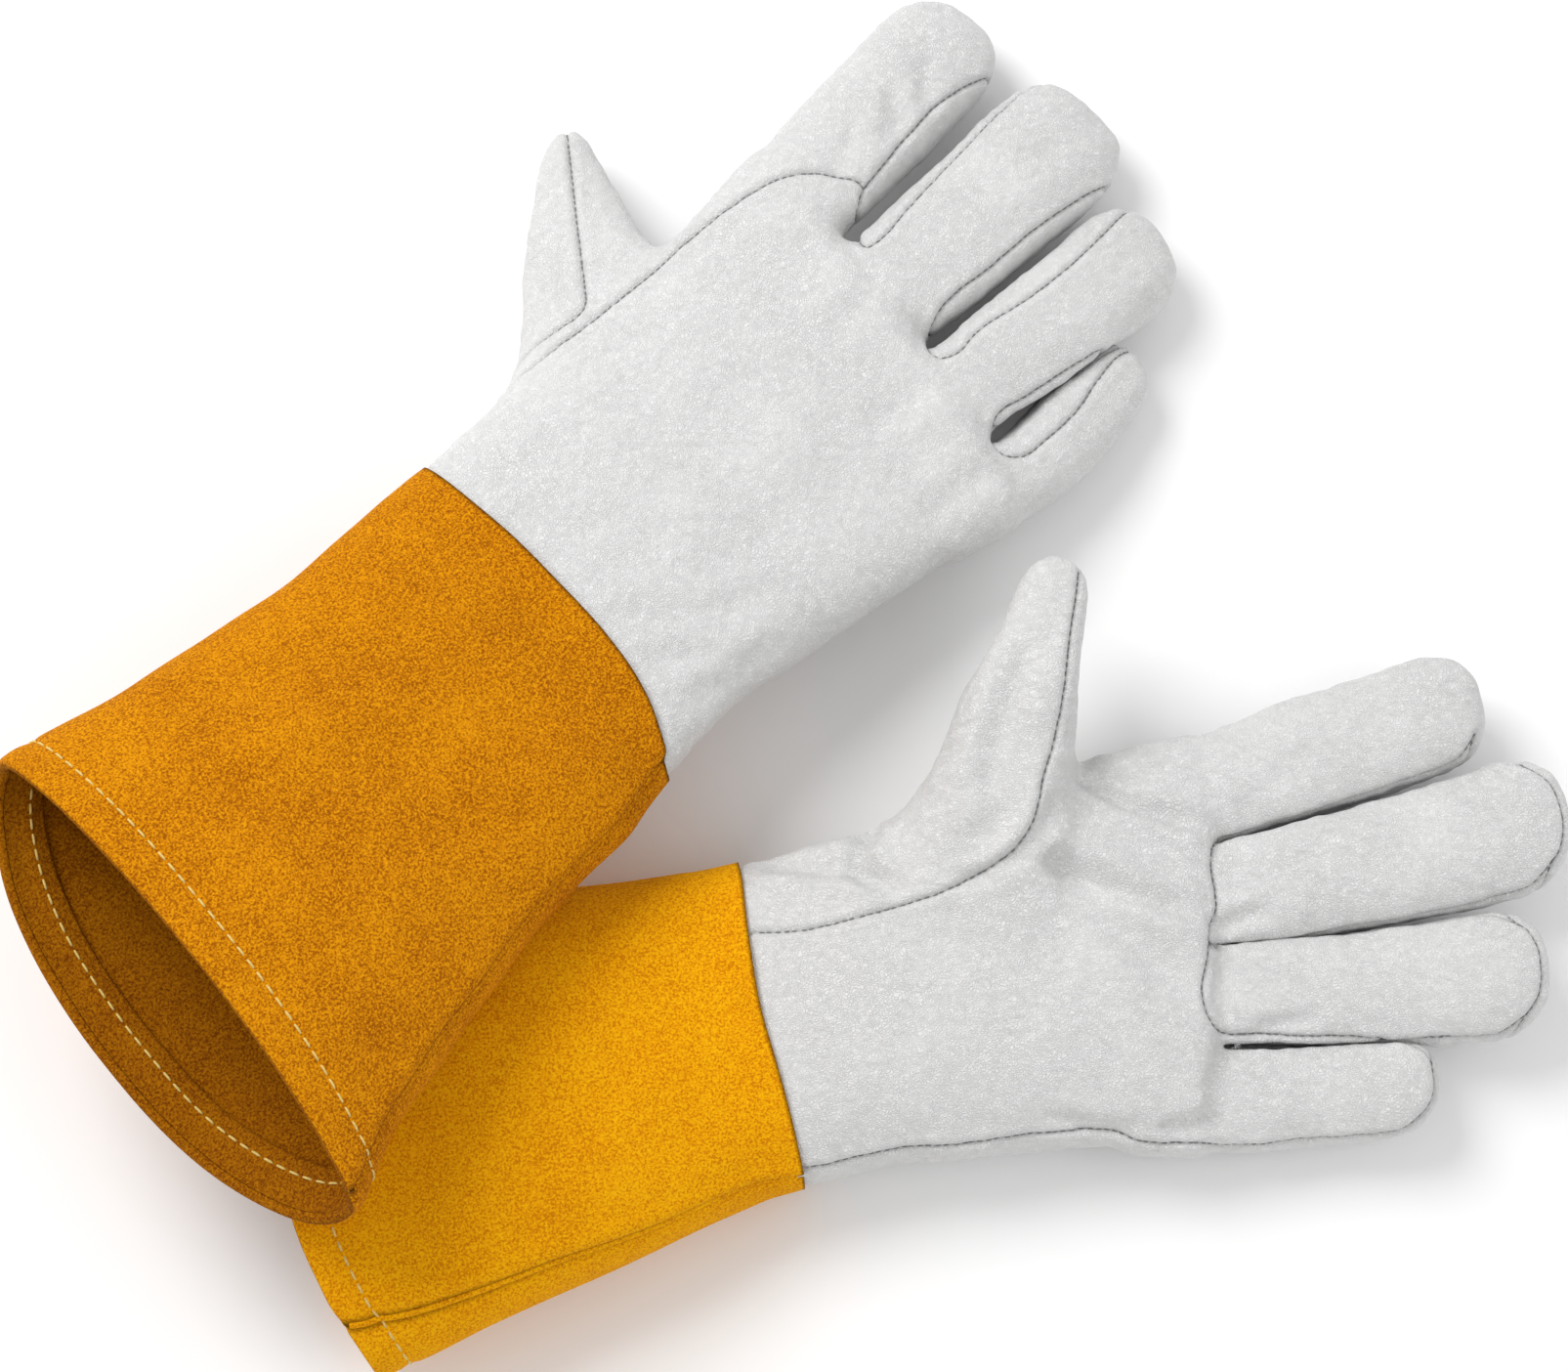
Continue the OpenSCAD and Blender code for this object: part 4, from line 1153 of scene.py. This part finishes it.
def hem_stitches(cuff, name, length):
    """The row of stitches as it shows on the outside and, across the hem, on the inside."""
    turns = np.linspace(0.02, 2 * math.pi - 0.02, 4000)
    out = []
    for depth, sign in ((-0.05, 1), (2 * FOLD + 0.05, -1)):
        path, n = cuff.face(STITCH_LINE / length, turns, np.full(len(turns), depth))
        pick = even(path, HEM_PITCH)
        pick = pick[(np.abs(turns[pick] - cuff.seam_turn(0.07)) > 0.05) & (path[pick, 2] > 0.9)]
        along = unit(np.gradient(path, axis=0)[pick])
        out.append(stitch_mesh(path[pick], along, n[pick] * sign, *HEM_STITCH))
    points = np.concatenate([out[0][0], out[1][0]])
    faces = np.concatenate([out[0][1], out[1][1] + len(out[0][0])])
    return mesh_object(name, cuff.glove.world(points), faces, None, points,
                       np.full(len(points), BEAD), CREAM_THREAD)


# ---------------------------------------------------------------- materials

def node(tree, kind, **inputs):
    """New node; values are input values, sockets to link, or node settings."""
    n = tree.nodes.new(kind)
    for key, value in inputs.items():
        if key in n.inputs:
            if isinstance(value, bpy.types.NodeSocket):
                tree.links.new(value, n.inputs[key])
            else:
                n.inputs[key].default_value = value
        else:
            setattr(n, key, value)
    return n


def ramp(tree, value, *stops):
    n = tree.nodes.new("ShaderNodeValToRGB")
    tree.links.new(value, n.inputs[0])
    while len(n.color_ramp.elements) < len(stops):
        n.color_ramp.elements.new(0.5)
    for e, (at, color) in zip(n.color_ramp.elements, stops):
        e.position, e.color = at, (*color, 1) if isinstance(color, tuple) else (color,) * 3 + (1,)
    return n.outputs[0]


def scaled(tree, vector, *scale):
    n = node(tree, "ShaderNodeVectorMath", operation="MULTIPLY")
    tree.links.new(vector, n.inputs[0])
    n.inputs[1].default_value = scale
    return n.outputs[0]


def noise(tree, vector, scale, detail=3.0, rough=0.5):
    n = node(tree, "ShaderNodeTexNoise", Vector=vector, Scale=scale, Detail=detail, Roughness=rough)
    return n.outputs[0]


def mixed(tree, how, a, b, factor=1.0):
    n = tree.nodes.new("ShaderNodeMix")
    n.data_type, n.blend_type = "RGBA", how
    for i, v in ((0, factor), (6, a), (7, b)):
        if isinstance(v, bpy.types.NodeSocket):
            tree.links.new(v, n.inputs[i])
        else:
            n.inputs[i].default_value = v
    return n.outputs[2]


def math_node(tree, how, a, b=0.0, c=0.0, clamp=False):
    n = tree.nodes.new("ShaderNodeMath")
    n.operation, n.use_clamp = how, clamp
    for i, v in enumerate((a, b, c)):
        if isinstance(v, bpy.types.NodeSocket):
            tree.links.new(v, n.inputs[i])
        elif i < len(n.inputs):
            n.inputs[i].default_value = v
    return n.outputs[0]


def new_material(name):
    m = bpy.data.materials.new(name)
    m.use_nodes = True
    return m, m.node_tree, m.node_tree.nodes["Principled BSDF"]


def attribute(tree, name, output):
    return node(tree, "ShaderNodeAttribute", attribute_name=name).outputs[output]


def goatskin():
    m, t, out = new_material("goatskin")
    rest, seam = attribute(t, "rest", "Vector"), attribute(t, "seam", "Fac")
    cloud = noise(t, rest, 28, 3)
    tint = ramp(t, cloud, (0.3, (0.735, 0.735, 0.73)), (0.7, (0.80, 0.80, 0.795)))
    # painted shade: the colour darkens close to the seams, down in their grooves
    seam_shade = ramp(t, math_node(t, "MULTIPLY", seam, 0.25),
                (0.0, 0.55), (0.07, 0.84), (0.17, 0.96), (0.6, 1.0))
    wobble = node(t, "ShaderNodeTexNoise", Vector=rest, Scale=300.0, Detail=2.0).outputs["Color"]
    warp = mixed(t, "LINEAR_LIGHT", rest, wobble, 0.0018)
    cells = node(t, "ShaderNodeTexVoronoi", feature="DISTANCE_TO_EDGE",
                 Vector=scaled(t, warp, 1.0, 1.5, 1.0), Scale=1150.0).outputs["Distance"]
    grain = math_node(t, "MULTIPLY", ramp(t, cells, (0.0, 0.0), (0.2, 0.8), (0.5, 1.0)), 1.5)
    patch = ramp(t, noise(t, rest, 30, 2), (0.3, 0.55), (0.65, 1.0))
    # painted shade: the colour darkens in the grain's creases, where the bump is lowest
    crease_shade = ramp(t, cells, (0.0, 0.94), (0.15, 1.0))
    color = mixed(t, "MULTIPLY", mixed(t, "MULTIPLY", tint, seam_shade), crease_shade, 0.7)
    t.links.new(color, out.inputs["Base Color"])
    fine = math_node(t, "MULTIPLY", noise(t, rest, 1800, 2), 0.5)
    height = math_node(t, "MULTIPLY_ADD", grain, patch, fine)
    wide = noise(t, scaled(t, rest, 1.0, 2.0, 1.0), 90, 2)
    height = math_node(t, "MULTIPLY_ADD", wide, 0.9, height)
    bump = node(t, "ShaderNodeBump", Height=height, Strength=0.65, Distance=0.00032)
    t.links.new(bump.outputs[0], out.inputs["Normal"])
    out.inputs["Roughness"].default_value = 0.5
    out.inputs["Specular IOR Level"].default_value = 0.35
    return m


def suede(name, dark, middle, light):
    m, t, out = new_material(name)
    rest, inside = attribute(t, "rest", "Vector"), attribute(t, "seam", "Fac")
    speck = noise(t, rest, 1500, 3, 0.7)
    blotch = noise(t, rest, 40, 4, 0.6)
    value = math_node(t, "MULTIPLY_ADD", blotch, 0.15, math_node(t, "MULTIPLY", speck, 0.85))
    color = ramp(t, value, (0.41, dark), (0.5, middle), (0.6, light))
    # painted shade: the inner face, the inner half of the fold at the mouth and the hem are all darkened;
    # welt keeps the threads and the side welt out of it
    turned = ramp(t, inside, (0.4, (1.0, 1.0, 1.0)), (0.9, (0.55, 0.5, 0.6)))
    welt = ramp(t, math_node(t, "MULTIPLY", inside, 0.2), (0.5, 0.0), (0.6, 1.0))
    shade = mixed(t, "MIX", turned, (1, 1, 1, 1), welt)
    # painted shadow: a dark line on the outside along the side seam, under the upper panel's edge, and
    # along the cuff's edge at the wrist
    line = ramp(t, math_node(t, "MULTIPLY", inside, -1.0), (0.1, 1.0), (0.95, 0.22))
    color = mixed(t, "MULTIPLY", mixed(t, "MULTIPLY", color, shade), line)
    t.links.new(color, out.inputs["Base Color"])
    height = math_node(t, "ADD", speck, noise(t, rest, 1900, 2, 0.7))
    bump = node(t, "ShaderNodeBump", Height=height, Strength=0.8, Distance=0.00045)
    t.links.new(bump.outputs[0], out.inputs["Normal"])
    out.inputs["Roughness"].default_value = 0.95
    out.inputs["Specular IOR Level"].default_value = 0.08
    out.inputs["Sheen Weight"].default_value = 0.06
    out.inputs["Sheen Tint"].default_value = (1.0, 0.55, 0.05, 1)
    return m


def thread(name, color):
    m, t, out = new_material(name)
    strands = noise(t, attribute(t, "rest", "Vector"), 2600, 2)
    dark = tuple(c * 0.7 for c in color)
    t.links.new(ramp(t, strands, (0.35, dark), (0.65, color)), out.inputs["Base Color"])
    out.inputs["Roughness"].default_value = 0.8
    return m


GOATSKIN = goatskin()
SUEDE = dict(right=suede("golden_suede", (0.33, 0.09, 0.0008), (0.60, 0.205, 0.0015), (0.82, 0.335, 0.003)),
             left=suede("light_suede", (0.62, 0.205, 0.0008), (0.88, 0.36, 0.0015), (0.97, 0.50, 0.003)))
CREAM_THREAD = thread("cream_thread", (0.86, 0.63, 0.18))
GREY_THREAD = thread("grey_thread", (0.24, 0.24, 0.24))


# ---------------------------------------------------------------- gloves, floor, light, camera

for table in (RIGHT, LEFT):
    glove = Glove(**table)
    build_hand(glove)
    build_cuff(glove)

bpy.ops.mesh.primitive_plane_add(size=6, location=(0, 0, 0))
floor = bpy.context.object
floor.name = "floor"
paper, tree, shade = new_material("paper")
shade.inputs["Base Color"].default_value = (0.97, 0.97, 0.97, 1)
shade.inputs["Roughness"].default_value = 0.9
floor.data.materials.append(paper)


def lamp(name, place, target, size, power):
    data = bpy.data.lights.new(name, "AREA")
    data.shape, data.size, data.energy = "DISK", size, power
    obj = bpy.data.objects.new(name, data)
    obj.location = place
    obj.rotation_euler = (Vector(target) - Vector(place)).to_track_quat("-Z", "Y").to_euler()
    bpy.context.scene.collection.objects.link(obj)


lamp("key", (-0.8, 0.65, 1.25), (0, 0, 0.03), 1.0, 16.5)
lamp("fill", (1.1, -0.5, 1.1), (0, 0, 0.03), 1.4, 4.5)

world = bpy.data.worlds.new("studio")
world.use_nodes = True
world.node_tree.nodes["Background"].inputs[0].default_value = (1, 1, 1, 1)
world.node_tree.nodes["Background"].inputs[1].default_value = 0.62
bpy.context.scene.world = world
bpy.context.scene.view_settings.view_transform = "Standard"     # as a plain photograph

data = bpy.data.cameras.new("camera")
data.lens, data.sensor_width = 100, 36
camera = bpy.data.objects.new("camera", data)
target, elevation, distance = Vector((-0.0028, -0.0053, 0.020)), math.radians(75), 1.211
camera.location = target + Vector((0, -math.cos(elevation), math.sin(elevation))) * distance
camera.rotation_euler = (target - camera.location).to_track_quat("-Z", "Y").to_euler()
bpy.context.scene.collection.objects.link(camera)
bpy.context.scene.camera = camera
